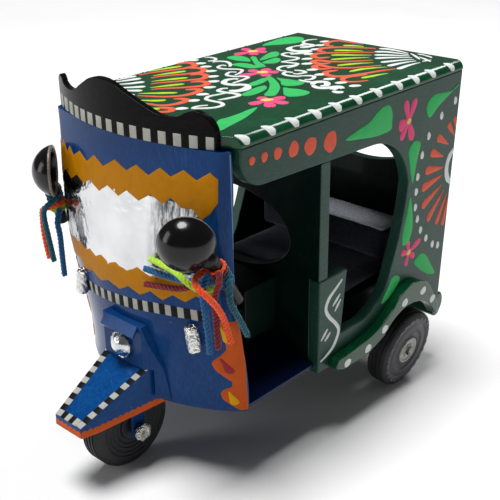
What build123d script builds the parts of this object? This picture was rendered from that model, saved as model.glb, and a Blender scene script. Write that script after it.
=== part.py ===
from build123d import *
import math
import os

os.makedirs("parts", exist_ok=True)

# Hand painted toy auto rickshaw: painted board body, bent tin front, wire axles.
# Millimetres. The vehicle faces -Y, +X is its left side, +Z is up, wheels stand on z = 0.
# Everything is first built level, in body stations: y is 0 at the rear edge of the roof and
# negative to the front, z is 0 under the rear wheels. The finished toy stands TILT degrees nose
# down on its small front wheel, so all pieces are turned about X by TILT at the end, then moved
# by Y_SHIFT and Z_SHIFT so that the box is centred on the origin and the wheels stand on z = 0.
Y_SHIFT = 92.4645
TILT = 2.0

# ---------------------------------------------------------------- driving dimensions
ROOF_TOP = 141.8        # top face of the roof board
ROOF_T = 4.0            # roof board thickness
ROOF_HALF = 46.0        # half width of the roof
FRONT_Y = -151.0        # foremost station of the crest's curve
FRONT_R = 96.0          # plan radius of the curved front
CREST_T = 2.6           # black crest board thickness
CREST_BASE = 137.3      # underside of the crest, top of the tin
SIDE_T = 5.0            # side board thickness
SIDE_OUT = 46.0         # outer face of the side boards
SIDE_IN = SIDE_OUT - SIDE_T
BODY_LOW = 32.6         # underside of the side boards
REAR_LEAN = 0.05        # the rear leans forward towards the floor
PART_Y0, PART_Y1 = -94.0, -88.5     # partition board, front and rear face
SHELL_T = 1.3           # bent tin thickness
SHELL_HALF = 44.0       # half width at the tin's rear edges
FLOOR_Z0, FLOOR_Z1 = 35.2, 36.8     # tin floor of the driver's place

REAR_AXLE_Y = -32.8
WHEEL_R = 18.2
WHEEL_W = 10.0
REAR_FACE_X = 49.0      # outer face of a rear wheel at its centre
CAMBER = 8.0            # rear wheels lean out at the top, on the bent ends of their wire axle
FRONT_AXLE_Y = -156.6
FRONT_R_WHEEL = 18.6
AXLE_R = 1.5
BORE_R = 1.56
HUB_R = 6.2

# height of the wheels' centres: every wheel touches the same ground once tilted
cam_c, cam_s = math.cos(math.radians(CAMBER)), math.sin(math.radians(CAMBER))
til_c, til_s = math.cos(math.radians(TILT)), math.sin(math.radians(TILT))
cx = REAR_FACE_X - WHEEL_W / 2 * cam_c
cz = WHEEL_R * cam_c + WHEEL_W / 2 * cam_s
lean_z = cam_s * til_c
rear_low = REAR_AXLE_Y * til_s + cz * til_c - WHEEL_R * math.sqrt(1 - lean_z ** 2) - WHEEL_W / 2 * lean_z
Z_SHIFT = -rear_low
FRONT_Z = (rear_low + FRONT_R_WHEEL - FRONT_AXLE_Y * til_s) / til_c
PLACE = Pos(0, Y_SHIFT, Z_SHIFT) * Rot(TILT, 0, 0)

parts = {}


def roof_front(x, off=0.0):
    """Station of the roof's front curve at x, off mm behind it."""
    return FRONT_Y + off + (FRONT_R - math.sqrt(FRONT_R ** 2 - x * x))


def rear_y(z):
    return -REAR_LEAN * (ROOF_TOP - z)


def outline(rows):
    """Closed wire in a plane from rows: ("L", a, b) a straight run to (a, b),
    ("A", am, bm, a, b) an arc through (am, bm) to (a, b). The first row is the start."""
    start = rows[0][-2:]
    at = start
    edges = []
    for row in rows[1:]:
        to = row[-2:]
        if row[0] == "L":
            edges.append(Line(at, to))
        else:
            edges.append(ThreePointArc(at, row[1:3], to))
        at = to
    if at != start:
        edges.append(Line(at, start))
    return make_face(edges)


def slab_yz(rows, x0, x1):
    """A board lying in the Y-Z plane from x0 to x1."""
    return Pos(x0, 0, 0) * extrude(Plane.YZ * outline(rows), amount=x1 - x0)


def slab_xy(rows, z0, z1):
    return Pos(0, 0, z0) * extrude(Plane.XY * outline(rows), amount=z1 - z0)


def slab_xz(rows, y0, y1):
    """A board lying in the X-Z plane from station y0 to y1 (y0 < y1)."""
    return Pos(0, y1, 0) * extrude(Plane.XZ * outline(rows), amount=y1 - y0)


def block(x0, x1, y0, y1, z0, z1):
    return Pos((x0 + x1) / 2, (y0 + y1) / 2, (z0 + z1) / 2) * Box(x1 - x0, y1 - y0, z1 - z0)


def mirrored(shape):
    return mirror(shape, about=Plane.YZ)


# ---------------------------------------------------------------- roof
r_in = CREST_T
roof = slab_xy([("L", -ROOF_HALF, 0), ("L", ROOF_HALF, 0), ("L", ROOF_HALF, roof_front(ROOF_HALF, r_in)),
                ("A", 0, FRONT_Y + r_in, -ROOF_HALF, roof_front(ROOF_HALF, r_in)), ("L", -ROOF_HALF, 0)],
               ROOF_TOP - ROOF_T, ROOF_TOP)
long_edges = [e for e in roof.edges().filter_by(Axis.Y) if abs(abs(e.center().X) - ROOF_HALF) < 0.1
              and e.center().Z > ROOF_TOP - 0.1]
roof = fillet(long_edges, 3.4)
parts["roof_board"] = roof

# ---------------------------------------------------------------- side boards
# rows: kind, then stations and heights, clockwise from the rear top corner
SIDE_ROWS = [
    ("L", rear_y(ROOF_TOP - ROOF_T), ROOF_TOP - ROOF_T),
    ("L", -137.0, ROOF_TOP - ROOF_T),
    ("L", -137.4, 133.0),
    ("A", -134.2, 126.4, -126.5, 122.7),
    ("L", -62.0, 120.4),
    ("A", -44.2, 112.6, -36.4, 98.0),
    ("A", -39.2, 81.5, -45.6, 63.0),
    ("A", -53.5, 50.2, -66.6, 45.2),
    ("L", -79.5, 45.6),
    ("L", -76.5, 73.4),
    ("L", -94.0, 73.4),
    ("L", -94.0, BODY_LOW),
    ("L", -52.0, BODY_LOW),
    ("A", REAR_AXLE_Y, 42.3, -13.6, BODY_LOW),
    ("L", rear_y(BODY_LOW), BODY_LOW),
    ("L", rear_y(ROOF_TOP - ROOF_T), ROOF_TOP - ROOF_T),
]
side = slab_yz(SIDE_ROWS, SIDE_IN, SIDE_OUT)
parts["side_panel_left"] = side
parts["side_panel_right"] = mirrored(side)

# ---------------------------------------------------------------- rear board with an oval window
RWIN = dict(z=105.0, a=29.0, b=13.5)
ry0, ry1 = rear_y(BODY_LOW), rear_y(ROOF_TOP - ROOF_T)
rear = slab_yz([("L", ry1, ROOF_TOP - ROOF_T), ("L", ry1 - 4.5, ROOF_TOP - ROOF_T),
                ("L", ry0 - 4.5, BODY_LOW), ("L", ry0, BODY_LOW), ("L", ry1, ROOF_TOP - ROOF_T)], -SIDE_IN, SIDE_IN)
win = Pos(0, 20, RWIN["z"]) * extrude(Plane.XZ * Ellipse(RWIN["a"], RWIN["b"]), amount=60)
parts["rear_panel"] = rear - win

# ---------------------------------------------------------------- partition with an oval window
PWIN = dict(z=86.5, a=31.0, b=16.5)
part = block(-SIDE_IN, SIDE_IN, PART_Y0, PART_Y1, BODY_LOW, ROOF_TOP - ROOF_T)
part += block(-SIDE_OUT + 0.4, SIDE_OUT - 0.4, PART_Y0, PART_Y1, 73.4, 121.3)
pwin = Pos(0, -60, PWIN["z"]) * extrude(Plane.XZ * Ellipse(PWIN["a"], PWIN["b"]), amount=60)
part = part - pwin - side - mirrored(side)
parts["partition_board"] = part

# ---------------------------------------------------------------- floors
WHEEL_WELL_X = 35.5
floor = slab_xy([("L", -SIDE_IN, -88.5), ("L", SIDE_IN, -88.5), ("L", SIDE_IN, -56.0), ("L", WHEEL_WELL_X, -56.0),
                 ("L", WHEEL_WELL_X, ry0 - 4.5), ("L", -WHEEL_WELL_X, ry0 - 4.5), ("L", -WHEEL_WELL_X, -56.0),
                 ("L", -SIDE_IN, -56.0), ("L", -SIDE_IN, -88.5)], BODY_LOW, BODY_LOW + 4.0)
parts["rear_floor"] = floor

# ---------------------------------------------------------------- bent tin front
# sections: height, rear edge station, how far the front stands before it, corner radius
SHELL_ROWS = [
    (FLOOR_Z0 - 0.6, -132.8, 18.2, 2.5),
    (56.0, -134.2, 17.2, 3.5),
    (84.0, -138.6, 14.2, 5.0),
    (110.0, -139.1, 12.2, 6.0),
    (CREST_BASE, -139.6, 9.6, 3.4),
]


def shell_face(z, edge_y, sag, rc, inset):
    """Plan section at height z, inset mm inside the outer face: side run, corner arc,
    front arc, corner arc, side run, closed across the back."""
    a = SHELL_HALF
    run = 0.5
    h = sag - run
    rf = ((a - rc) ** 2 + h * h - rc * rc) / (2 * (h - rc))
    ccx, ccy = a - rc, edge_y - run
    fcy = edge_y - sag + rf
    t = math.atan2(ccx, fcy - ccy)          # angle at the joint of corner and front arcs
    rci, rfi, ai = rc - inset, rf - inset, a - inset
    joint = (rfi * math.sin(t), fcy - rfi * math.cos(t))
    m = (t + math.pi / 2) / 2
    mid = (ccx + rci * math.sin(m), ccy - rci * math.cos(m))
    rows = [("L", ai, edge_y), ("L", ai, ccy), ("A", mid[0], mid[1], joint[0], joint[1]),
            ("A", 0, fcy - rfi, -joint[0], joint[1]), ("A", -mid[0], mid[1], -ai, ccy), ("L", -ai, edge_y),
            ("L", ai, edge_y)]
    return Pos(0, 0, z) * (Plane.XY * outline(rows))


outer = loft([shell_face(*r, 0.0) for r in SHELL_ROWS])
# the hollow: the same sections set in by the tin's thickness, run on past both ends and the back
low, high = SHELL_ROWS[0], SHELL_ROWS[-1]
INNER_ROWS = [(low[0] - 3.0,) + low[1:]] + SHELL_ROWS[1:-1] + [(high[0] + 3.0,) + high[1:]]


def hollow_face(z, edge_y, sag, rc):
    """Plan section of the hollow: like shell_face, but its sides run 4 mm on past the rear edge."""
    a = SHELL_HALF
    h = sag - 0.5
    rf = ((a - rc) ** 2 + h * h - rc * rc) / (2 * (h - rc))
    ccx, ccy = a - rc, edge_y - 0.5
    fcy = edge_y - sag + rf
    t = math.atan2(ccx, fcy - ccy)
    rci, rfi, ai = rc - SHELL_T, rf - SHELL_T, a - SHELL_T
    joint = (rfi * math.sin(t), fcy - rfi * math.cos(t))
    m = (t + math.pi / 2) / 2
    mid = (ccx + rci * math.sin(m), ccy - rci * math.cos(m))
    rows = [("L", ai, edge_y + 4.0), ("L", ai, ccy), ("A", mid[0], mid[1], joint[0], joint[1]),
            ("A", 0, fcy - rfi, -joint[0], joint[1]), ("A", -mid[0], mid[1], -ai, ccy), ("L", -ai, edge_y + 4.0),
            ("L", ai, edge_y + 4.0)]
    return Pos(0, 0, z) * (Plane.XY * outline(rows))


inner = loft([hollow_face(*r) for r in INNER_ROWS])
shell = outer - inner
# room for the front wheel
shell = shell - block(-10.5, 10.5, -175, -130, 20, 45)
parts["front_shell"] = shell

NOTCH_X, NOTCH_Y = 10.5, -139.5
ffl = slab_xy([("L", -43.9, PART_Y0), ("L", 43.9, PART_Y0), ("L", 43.9, -132.7), ("L", 41.6, -132.7),
               ("L", 40.6, -134.6), ("A", 0, -149.0, -40.6, -134.6), ("L", -41.6, -132.7), ("L", -43.9, -132.7),
               ("L", -43.9, PART_Y0)], FLOOR_Z0, FLOOR_Z1)
ffl = ffl - block(-NOTCH_X, NOTCH_X, -175, NOTCH_Y, 20, 60)
parts["front_floor"] = ffl

# header under the roof that the tin is nailed to
header = slab_xy([("L", -38.0, -133.0), ("L", 38.0, -133.0), ("L", 38.0, -139.8), ("A", 0, -147.2, -38.0, -139.8),
                  ("L", -38.0, -133.0)], 129.0, ROOF_TOP - ROOF_T)

# ---------------------------------------------------------------- crest
# outline of the crest, sawn a little off centre: kind, x, height
CREST_L, CREST_R = -43.8, 39.9
crest_rows = [("L", CREST_L, CREST_BASE), ("L", CREST_R, CREST_BASE), ("L", CREST_R, 142.6),
              ("A", 38.2, 147.2, 33.0, 150.1), ("A", 30.7, 149.5, 28.6, 148.3), ("A", 23.3, 146.9, 17.4, 148.1),
              ("L", 3.4, 153.6), ("A", -6.0, 155.8, -15.6, 153.4), ("L", -21.6, 150.1),
              ("A", -30.6, 147.0, -37.0, 148.0), ("A", -40.7, 149.9, CREST_L, 147.8), ("L", CREST_L, CREST_BASE)]
crest = slab_xz(crest_rows, -170, -120)
band = slab_xy([("L", -60, roof_front(60)), ("A", 0, FRONT_Y, 60, roof_front(60)), ("L", 60, roof_front(60, CREST_T)),
                ("A", 0, FRONT_Y + CREST_T, -60, roof_front(60, CREST_T)), ("L", -60, roof_front(60))], 120, 170)
crest = crest & band
parts["crest_board"] = crest
parts["front_header"] = header

# ---------------------------------------------------------------- wheels
def tyre(radius, width):
    """Tyre about X, centred on the origin."""
    w, r, i = width / 2, radius, HUB_R
    prof = outline([("L", -w, i), ("L", -w, r - 2.2), ("A", -w + 0.65, r - 0.65, -w + 2.2, r), ("L", w - 2.2, r),
                    ("A", w - 0.65, r - 0.65, w, r - 2.2), ("L", w, i), ("L", -w, i)])
    return revolve(Plane.XY * prof, axis=Axis.X, revolution_arc=360)


def hub(width, proud=0.3):
    return Rot(0, 90, 0) * (Cylinder(HUB_R, width + 2 * proud) - Cylinder(BORE_R, width + 4))


for side_name, s in (("left", 1), ("right", -1)):
    loc = Pos(s * cx, REAR_AXLE_Y, cz) * Rot(0, s * CAMBER, 0)
    parts["rear_%s_tyre" % side_name] = loc * tyre(WHEEL_R, WHEEL_W)
    parts["rear_%s_hub" % side_name] = loc * hub(WHEEL_W)
floc = Pos(0, FRONT_AXLE_Y, FRONT_Z)
parts["front_tyre"] = floc * tyre(FRONT_R_WHEEL, WHEEL_W)
parts["front_hub"] = floc * hub(WHEEL_W, 0.2)

# rear axle: straight middle, ends bent down with the wheels, flattened heads outside the hubs
bend_x = 34.0
reach = (cx - bend_x) / math.cos(math.radians(CAMBER))
bend_z = cz + (cx - bend_x) * math.tan(math.radians(CAMBER))
axle = Pos(0, REAR_AXLE_Y, bend_z) * Rot(0, 90, 0) * Cylinder(AXLE_R, 2 * bend_x)
for s in (1, -1):
    axle += Pos(s * bend_x, REAR_AXLE_Y, bend_z) * Sphere(AXLE_R)
    out = Pos(s * cx, REAR_AXLE_Y, cz) * Rot(0, s * CAMBER, 0)
    length = reach + WHEEL_W / 2 + 1.0
    axle += out * Pos(s * (WHEEL_W / 2 + 1.0 - length / 2), 0, 0) * Rot(0, 90, 0) * Cylinder(AXLE_R, length)
    axle += out * Pos(s * (WHEEL_W / 2 + 0.6 + 0.5), 0, 0) * Rot(0, 90, 0) * Cylinder(2.1, 1.0)
parts["rear_axle"] = axle
bore = Pos(0, REAR_AXLE_Y, bend_z) * Rot(0, 90, 0) * Cylinder(AXLE_R, 90)
brackets = []
for s in (1, -1):
    b = block(s * 29 - 1.5, s * 29 + 1.5, REAR_AXLE_Y - 4, REAR_AXLE_Y + 4, bend_z - 4, BODY_LOW)
    brackets.append(b - bore)
parts["rear_axle_brackets"] = Compound(children=brackets)

# front axle and its foil-wrapped ends
faxle = floc * Rot(0, 90, 0) * Cylinder(AXLE_R, 21.0)
parts["front_axle"] = faxle
nubs = []
for s in (1, -1):
    n = floc * Rot(0, 90, 0) * (Pos(1.5, 0, s * 10.3) * Cylinder(3.9, 3.2) - Cylinder(AXLE_R, 40))
    nubs.append(n)
parts["front_axle_nubs"] = Compound(children=nubs)

# ---------------------------------------------------------------- mudguard
MG_TIP_Y, MG_REAR_Y = -183.4, -149.0
MG_TIP_Z, MG_REAR_Z = 35.2, 50.7
MG_TIP_X, MG_REAR_X = 7.5, 14.3
MG_LOW_Z = 30.8
MG_T = 1.0


def mudguard_body(inset):
    w0, w1 = MG_TIP_X - inset, MG_REAR_X - inset
    y0 = MG_TIP_Y + inset
    plan = slab_xy([("L", -w0, y0), ("L", w0, y0), ("L", w1, -140.0), ("L", -w1, -140.0), ("L", -w0, y0)], 10, 70)
    slope = (MG_REAR_Z - MG_TIP_Z) / (MG_REAR_Y - MG_TIP_Y)
    top = slab_yz([("L", -200, MG_TIP_Z - inset * 1.1 + slope * (-200 - MG_TIP_Y)),
                   ("L", -140, MG_TIP_Z - inset * 1.1 + slope * (-140 - MG_TIP_Y)),
                   ("L", -140, MG_LOW_Z + 1.4 if inset == 0 else 5), ("L", -176, MG_LOW_Z - 0.4 if inset == 0 else 5),
                   ("L", -200, MG_LOW_Z + 1.4 if inset == 0 else 5),
                   ("L", -200, MG_TIP_Z - inset * 1.1 + slope * (-200 - MG_TIP_Y))], -40, 40)
    return plan & top


guard_solid = mudguard_body(0)
guard = guard_solid - mudguard_body(MG_T)
parts["mudguard"] = guard - outer

# fork: bridge under the guard and an arm down each side of the wheel
slope = (MG_REAR_Z - MG_TIP_Z) / (MG_REAR_Y - MG_TIP_Y)
arm_y0, arm_y1 = FRONT_AXLE_Y - 3.0, FRONT_AXLE_Y + 3.0
top_z = MG_TIP_Z - MG_T * 1.1 + slope * (arm_y0 - MG_TIP_Y)
low_z = FRONT_Z + FRONT_R_WHEEL + 0.8
fork_front = slab_xz([("L", -8.0, FRONT_Z - 4.0), ("L", -6.8, FRONT_Z - 4.0), ("L", -6.8, low_z), ("L", 6.8, low_z),
                      ("L", 6.8, FRONT_Z - 4.0), ("L", 8.0, FRONT_Z - 4.0), ("L", 8.0, 60.0), ("L", -8.0, 60.0),
                      ("L", -8.0, FRONT_Z - 4.0)], arm_y0, arm_y1)
parts["front_fork"] = (fork_front & mudguard_body(MG_T)) - faxle

# ---------------------------------------------------------------- nose, visor, headlight, marker lamps
NOSE_Y = -154.8
nose = slab_xz([("L", -18.6, 36.0), ("L", 18.6, 36.0), ("L", 17.0, 48.0), ("L", 12.4, 60.0), ("L", 10.8, 66.4), ("L", -10.8, 66.4),
                ("L", -12.4, 60.0), ("L", -17.0, 48.0), ("L", -18.6, 36.0)], -160, -140)
nose = nose & slab_xy([("L", -20.0, -144.0), ("L", -20.0, -147.5), ("L", -10.6, NOSE_Y), ("L", 10.6, NOSE_Y), ("L", 20.0, -147.5),
                       ("L", 20.0, -144.0), ("L", -20.0, -144.0)], 30, 70)
nose = nose - outer - guard_solid - block(-13.9, 13.9, -175, -140, 20, 48.6)
parts["nose_fairing"] = nose

visor = slab_yz([("L", NOSE_Y, 65.2), ("L", -157.0, 61.8), ("L", -157.6, 62.6), ("L", NOSE_Y, 66.5), ("L", NOSE_Y, 65.2)], -9.2, 9.2)
parts["headlight_visor"] = visor

LIGHT_R, LIGHT_Z = 5.2, 56.0
light = Pos(0, NOSE_Y - 0.7, LIGHT_Z) * Rot(90, 0, 0) * Cylinder(LIGHT_R, 1.4)
ball = Pos(0, NOSE_Y + 2.6, LIGHT_Z) * Sphere(6.7)
light += ball & block(-9, 9, -175, NOSE_Y - 1.4, 40, 70)
parts["headlight"] = light

lamps = []
LAMP_ROWS = [  # x, station, height of centre, lean of the capsule, turn
    (31.5, -148.2, 67.0, -10.0, 22.0),
    (-29.8, -148.6, 70.4, 10.0, -22.0),
]
for lx, ly, lz, lean, turn in LAMP_ROWS:
    lamp = Pos(lx, ly, lz) * Rot(0, lean, 0) * Rot(0, 0, turn) * Cylinder(2.6, 10.5)
    lamps.append(lamp - outer)
parts["marker_lamps"] = Compound(children=lamps)

# windscreen foil laid on the tin
foil = loft([shell_face(*r, -0.4) for r in SHELL_ROWS]) - outer
foil = foil & block(-41.0, 36.0, -170, -142.0, 84.0, 118.0)
parts["windscreen_foil"] = foil

# ---------------------------------------------------------------- lamp domes on stalks
DOME_R = 9.9            # rim radius of a dome
DOME_T = 1.2
DOME_BALL = 10.28       # radius of the ball that the bowl is cut from
DOME_BACK = 2.78        # the ball's centre stands this far behind the rim
STALK_R = 2.3
DOME_ROWS = [   # side, dome centre, turn of its axis, stalk foot, stalk head
    ("left", (39.0, -156.5, 108.7), 45.0, (45.6, -139.6, 84.0), (45.4, -150.6, 102.4)),
    ("right", (-41.346, -149.6, 113.9), -45.0, (-46.3, -143.3, 90.2), (-44.6, -147.6, 104.6)),
]
stalks = {}
for side_name, c, turn, foot, head in DOME_ROWS:
    look = Pos(*c) * Rot(0, 0, turn)       # local -Y is where the dome bulges to
    ball = Pos(0, DOME_BACK, 0) * (Sphere(DOME_BALL) - Sphere(DOME_BALL - DOME_T))
    half = ball & (Pos(0, -DOME_R, 0) * Box(60, 2 * DOME_R, 60))
    lip = Rot(90, 0, 0) * (Cylinder(DOME_R, 1.0) - Cylinder(DOME_R - DOME_T, 4))
    dome = look * (half + Pos(0, 0.5, 0) * lip)
    parts["mirror_dome_%s" % side_name] = dome
    a, b = Vector(*foot), Vector(*head)
    d = b - a
    stalk = Plane(origin=(a + b) * 0.5, z_dir=d) * Cylinder(STALK_R, d.length)
    # flared putty neck from the stick's end to the rim
    n = Vector(*c) - b
    m = b + n * ((n.length - DOME_R + 1.0) / n.length)
    stalk += Plane(origin=b, z_dir=n) * extrude(Circle(STALK_R), amount=(m - b).length)
    stalk += Pos(b.X, b.Y, b.Z) * Sphere(STALK_R)
    stalk += Pos(m.X, m.Y, m.Z) * Sphere(3.4)
    bowl_air = look * (Pos(0, DOME_BACK, 0) * Sphere(DOME_BALL - DOME_T) + Pos(0, 6.0, 0) * Rot(90, 0, 0) * Cylinder(DOME_R - DOME_T, 12.0))
    stalk = stalk - outer - dome - bowl_air - side - mirrored(side)
    stalks[side_name] = stalk
    parts["mirror_stalk_%s" % side_name] = stalk

# ---------------------------------------------------------------- yarn tied round the stalks
YARN_D = 2.4
TIE_R = 3.6
TIE_ROWS = [    # side, how far up the stalk the tie is centred, its length
    ("left", 0.70, 9.0),
    ("right", 0.72, 9.0),
]
# points of each free yarn end, from the tie outwards
YARN_ROUTES = {
    "yarn_left_blue_hang": [(45.3, -152.4, 98.9), (44.4, -154.9, 95.4), (45.2, -156.0, 92.2), (45.4, -155.4, 86.4), (45.4, -154.6, 80.5), (45.8, -154.1, 74.6), (45.6, -153.9, 68.7)],
    "yarn_left_maroon_hang": [(48.3, -150.9, 99.9), (50.0, -152.4, 96.7), (48.6, -153.3, 93.1), (47.0, -152.4, 88.2), (46.2, -150.9, 81.8), (45.7, -150.1, 75.2), (45.6, -149.6, 68.7)],
    "yarn_left_orange": [(42.8, -150.8, 98.8), (41.4, -153.8, 97.6), (42.8, -157.2, 97.2), (46.0, -159.2, 96.4), (49.2, -157.9, 93.6), (49.8, -153.6, 88.2), (49.3, -149.2, 80.0), (48.9, -146.8, 71.1)],
    "yarn_left_teal": [(48.8, -147.0, 96.2), (50.0, -147.8, 92.9), (49.3, -147.4, 87.2), (48.2, -141.6, 78.4), (47.4, -136.4, 69.0)],
    "yarn_left_lime": [(44.3, -147.9, 92.0), (42.0, -151.3, 90.3), (40.4, -154.6, 92.4), (36.7, -155.6, 94.5), (31.6, -154.6, 95.7), (24.0, -153.8, 95.8), (16.6, -153.2, 95.9)],
    "yarn_left_blue_tail": [(43.9, -149.9, 95.4), (39.7, -152.3, 94.3), (34.2, -151.8, 92.0), (24.4, -152.6, 90.9), (14.6, -154.4, 92.0)],
    "yarn_left_maroon_tail": [(42.6, -147.7, 94.3), (37.9, -148.8, 93.6), (32.8, -150.7, 88.2), (23.6, -152.2, 86.2), (14.3, -154.6, 85.8)],
    "yarn_right_orange": [(-41.2, -148.0, 99.9), (-42.2, -151.2, 99.2), (-46.0, -152.8, 98.2), (-48.1, -151.6, 93.6), (-48.6, -151.4, 88.2), (-48.3, -151.1, 81.8), (-47.7, -150.6, 75.4)],
    "yarn_right_teal": [(-41.3, -149.0, 102.4), (-40.6, -152.5, 101.6), (-42.2, -154.9, 99.2), (-42.0, -155.0, 94.8), (-42.0, -153.7, 85.4), (-42.8, -152.0, 76.1)],
    "yarn_right_blue": [(-42.1, -147.1, 97.2), (-40.2, -149.2, 96.2), (-40.0, -150.7, 92.9), (-39.4, -150.2, 88.8), (-40.4, -149.6, 78.9), (-41.0, -149.0, 69.1)],
}


def cord_radii(pts):
    """Radius of the arc at each inner point: 0.45 of the shorter run over the tangent of half the turn."""
    radii = []
    for p, q, r in zip(pts, pts[1:], pts[2:]):
        u, v = Vector(*q) - Vector(*p), Vector(*r) - Vector(*q)
        radii.append(0.45 * min(u.length, v.length) / math.tan(math.radians(u.get_angle(v) / 2)))
    return radii


tubes = {}
for name, pts in YARN_ROUTES.items():
    radii = cord_radii(pts)
    path = FilletPolyline(*pts, radius=radii)
    tube = sweep(Plane(origin=pts[0], z_dir=Vector(*pts[1]) - Vector(*pts[0])) * Circle(YARN_D / 2), path=path)
    tubes[name] = tube
    parts[name] = tube
    print(name, "length %.1f" % path.length, "radii", " ".join("%.1f" % r for r in radii),
          "volume / section x length %.4f" % (tube.volume / (math.pi * YARN_D ** 2 / 4 * path.length)))

for side_name, t, length in TIE_ROWS:
    foot, head = [(Vector(*r[3]), Vector(*r[4])) for r in DOME_ROWS if r[0] == side_name][0]
    tie = Plane(origin=foot + (head - foot) * t, z_dir=head - foot) * Cylinder(TIE_R, length)
    tie = tie - stalks[side_name] - outer - parts["mirror_dome_%s" % side_name]
    for name, tube in tubes.items():
        if side_name in name:
            tie = tie - tube
    parts["tassel_tie_%s" % side_name] = tie

# ---------------------------------------------------------------- fenders and bumper
FENDER_ROWS = [
    ("L", -87.2, 33.4), ("A", -86.4, 36.4, -83.0, 37.2), ("L", -70.0, 38.2), ("A", -58.0, 40.6, -48.0, 45.8),
    ("A", -33.6, 52.4, -20.4, 46.4), ("L", -12.6, 34.6), ("L", -12.0, 30.0), ("L", -14.6, 30.0),
    ("A", -33.0, 42.5, -54.0, 35.0), ("L", -66.0, 31.0), ("L", -83.0, 31.4), ("L", -87.2, 33.4)]
FENDER_OUT = 50.4
fender = slab_yz(FENDER_ROWS, SIDE_OUT, FENDER_OUT)
parts["fender_left"] = fender
parts["fender_right"] = mirrored(fender)

bumper = slab_yz([("L", -5.2, 34.0), ("L", -1.0, 33.6), ("A", 0.6, 29.0, -1.4, 24.6), ("A", -4.6, 22.6, -7.4, 25.0),
                  ("L", -8.6, BODY_LOW), ("L", -5.4, BODY_LOW), ("L", -5.2, 34.0)], -45.0, 45.0)
parts["rear_bumper"] = bumper - side - mirrored(side) - rear

# ---------------------------------------------------------------- seats
parts["driver_seat"] = block(-23.5, 23.5, -112.0, PART_Y0, 46.6, 69.3) + block(-19.0, 19.0, -108.5, PART_Y0, FLOOR_Z1, 46.6)
parts["passenger_seat_base"] = block(-35.0, 35.0, -66.0, ry0 - 8.5, BODY_LOW + 4.0, 50.0)
parts["passenger_seat_cushion"] = block(-36.0, 36.0, -67.0, -20.0, 50.0, 57.0)
parts["passenger_backrest"] = block(-36.0, 36.0, -38.0, -20.0, 57.0, 73.0)
parts["backrest_strip"] = block(-36.0, 36.0, -38.0, -20.0, 73.0, 74.6)

# ---------------------------------------------------------------- write
lo = [1e9, 1e9, 1e9]
hi = [-1e9, -1e9, -1e9]
for name, shape in parts.items():
    moved = PLACE * shape
    bb = moved.bounding_box()
    lo = [min(a, b) for a, b in zip(lo, (bb.min.X, bb.min.Y, bb.min.Z))]
    hi = [max(a, b) for a, b in zip(hi, (bb.max.X, bb.max.Y, bb.max.Z))]
    export_step(moved, "parts/%s.step" % name)
print("box", [round(v, 3) for v in lo], [round(v, 3) for v in hi])
print("bottom centre should be at 0 0 0:", round((lo[0] + hi[0]) / 2, 3), round((lo[1] + hi[1]) / 2, 3), round(lo[2], 3))
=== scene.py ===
import math
import random

import bmesh
import bpy
import numpy as np
from mathutils import Matrix, Vector, noise
from mathutils.bvhtree import BVHTree
from mathutils.geometry import tessellate_polygon


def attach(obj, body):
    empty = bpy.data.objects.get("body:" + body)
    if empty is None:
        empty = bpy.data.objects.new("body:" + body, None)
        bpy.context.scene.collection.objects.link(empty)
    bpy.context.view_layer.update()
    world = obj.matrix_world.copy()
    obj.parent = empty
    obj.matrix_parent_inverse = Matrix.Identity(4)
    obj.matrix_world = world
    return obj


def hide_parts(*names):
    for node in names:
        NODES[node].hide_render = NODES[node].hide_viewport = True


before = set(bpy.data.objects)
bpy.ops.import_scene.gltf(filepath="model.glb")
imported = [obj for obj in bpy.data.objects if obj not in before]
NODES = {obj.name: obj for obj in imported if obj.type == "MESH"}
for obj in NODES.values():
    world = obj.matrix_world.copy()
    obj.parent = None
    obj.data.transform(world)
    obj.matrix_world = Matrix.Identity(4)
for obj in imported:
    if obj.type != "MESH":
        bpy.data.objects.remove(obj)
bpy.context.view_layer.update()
RND = random.Random(7)

# ------------------------------------------------------------------ frame
# Pieces are drawn in body stations in millimetres, as the toy is built level, and then placed:
# turned nose down by TILT about X, moved, and scaled to metres.
TILT = math.radians(2.0)
Y_SHIFT, Z_SHIFT = 92.4645, 1.1558993
TC, TS = math.cos(TILT), math.sin(TILT)
PLACE = Matrix(((1, 0, 0, 0), (0, TC, -TS, Y_SHIFT), (0, TS, TC, Z_SHIFT), (0, 0, 0, 1)))
TO_M = Matrix.Scale(0.001, 4) @ PLACE
FROM_M = TO_M.inverted()
TO_NP = np.array(TO_M)


def W(p):
    return TO_M @ Vector(p)


# ------------------------------------------------------------------ camera
CAM_POS = (246.225, -351.524, 235.771)
YAW, PITCH, ROLL = (math.radians(v) for v in (43.43, 25.48, -1.12))


def make_camera():
    back = Vector((math.sin(YAW) * math.cos(PITCH), -math.cos(YAW) * math.cos(PITCH), math.sin(PITCH)))
    right = (-back).cross(Vector((0, 0, 1))).normalized()
    up = right.cross(-back)
    r = math.cos(ROLL) * right + math.sin(ROLL) * up
    u = -math.sin(ROLL) * right + math.cos(ROLL) * up
    turn = PLACE.to_3x3() @ Matrix((r, u, back)).transposed()
    data = bpy.data.cameras.new("camera")
    data.lens, data.sensor_width = 949.9 / 500 * 36, 36
    data.shift_x, data.shift_y = 0.0267, 0.0338
    data.clip_start, data.clip_end = 0.01, 10
    data.dof.use_dof = False
    cam = bpy.data.objects.new("camera", data)
    bpy.context.scene.collection.objects.link(cam)
    cam.matrix_world = Matrix.Translation(W(CAM_POS)) @ turn.to_4x4()
    bpy.context.scene.camera = cam
    return cam


make_camera()


# ------------------------------------------------------------------ materials
def lin(r, g, b):
    def one(c):
        c = c / 255
        return c / 12.92 if c <= 0.04045 else ((c + 0.055) / 1.055) ** 2.4
    return (one(r), one(g), one(b), 1.0)


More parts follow.
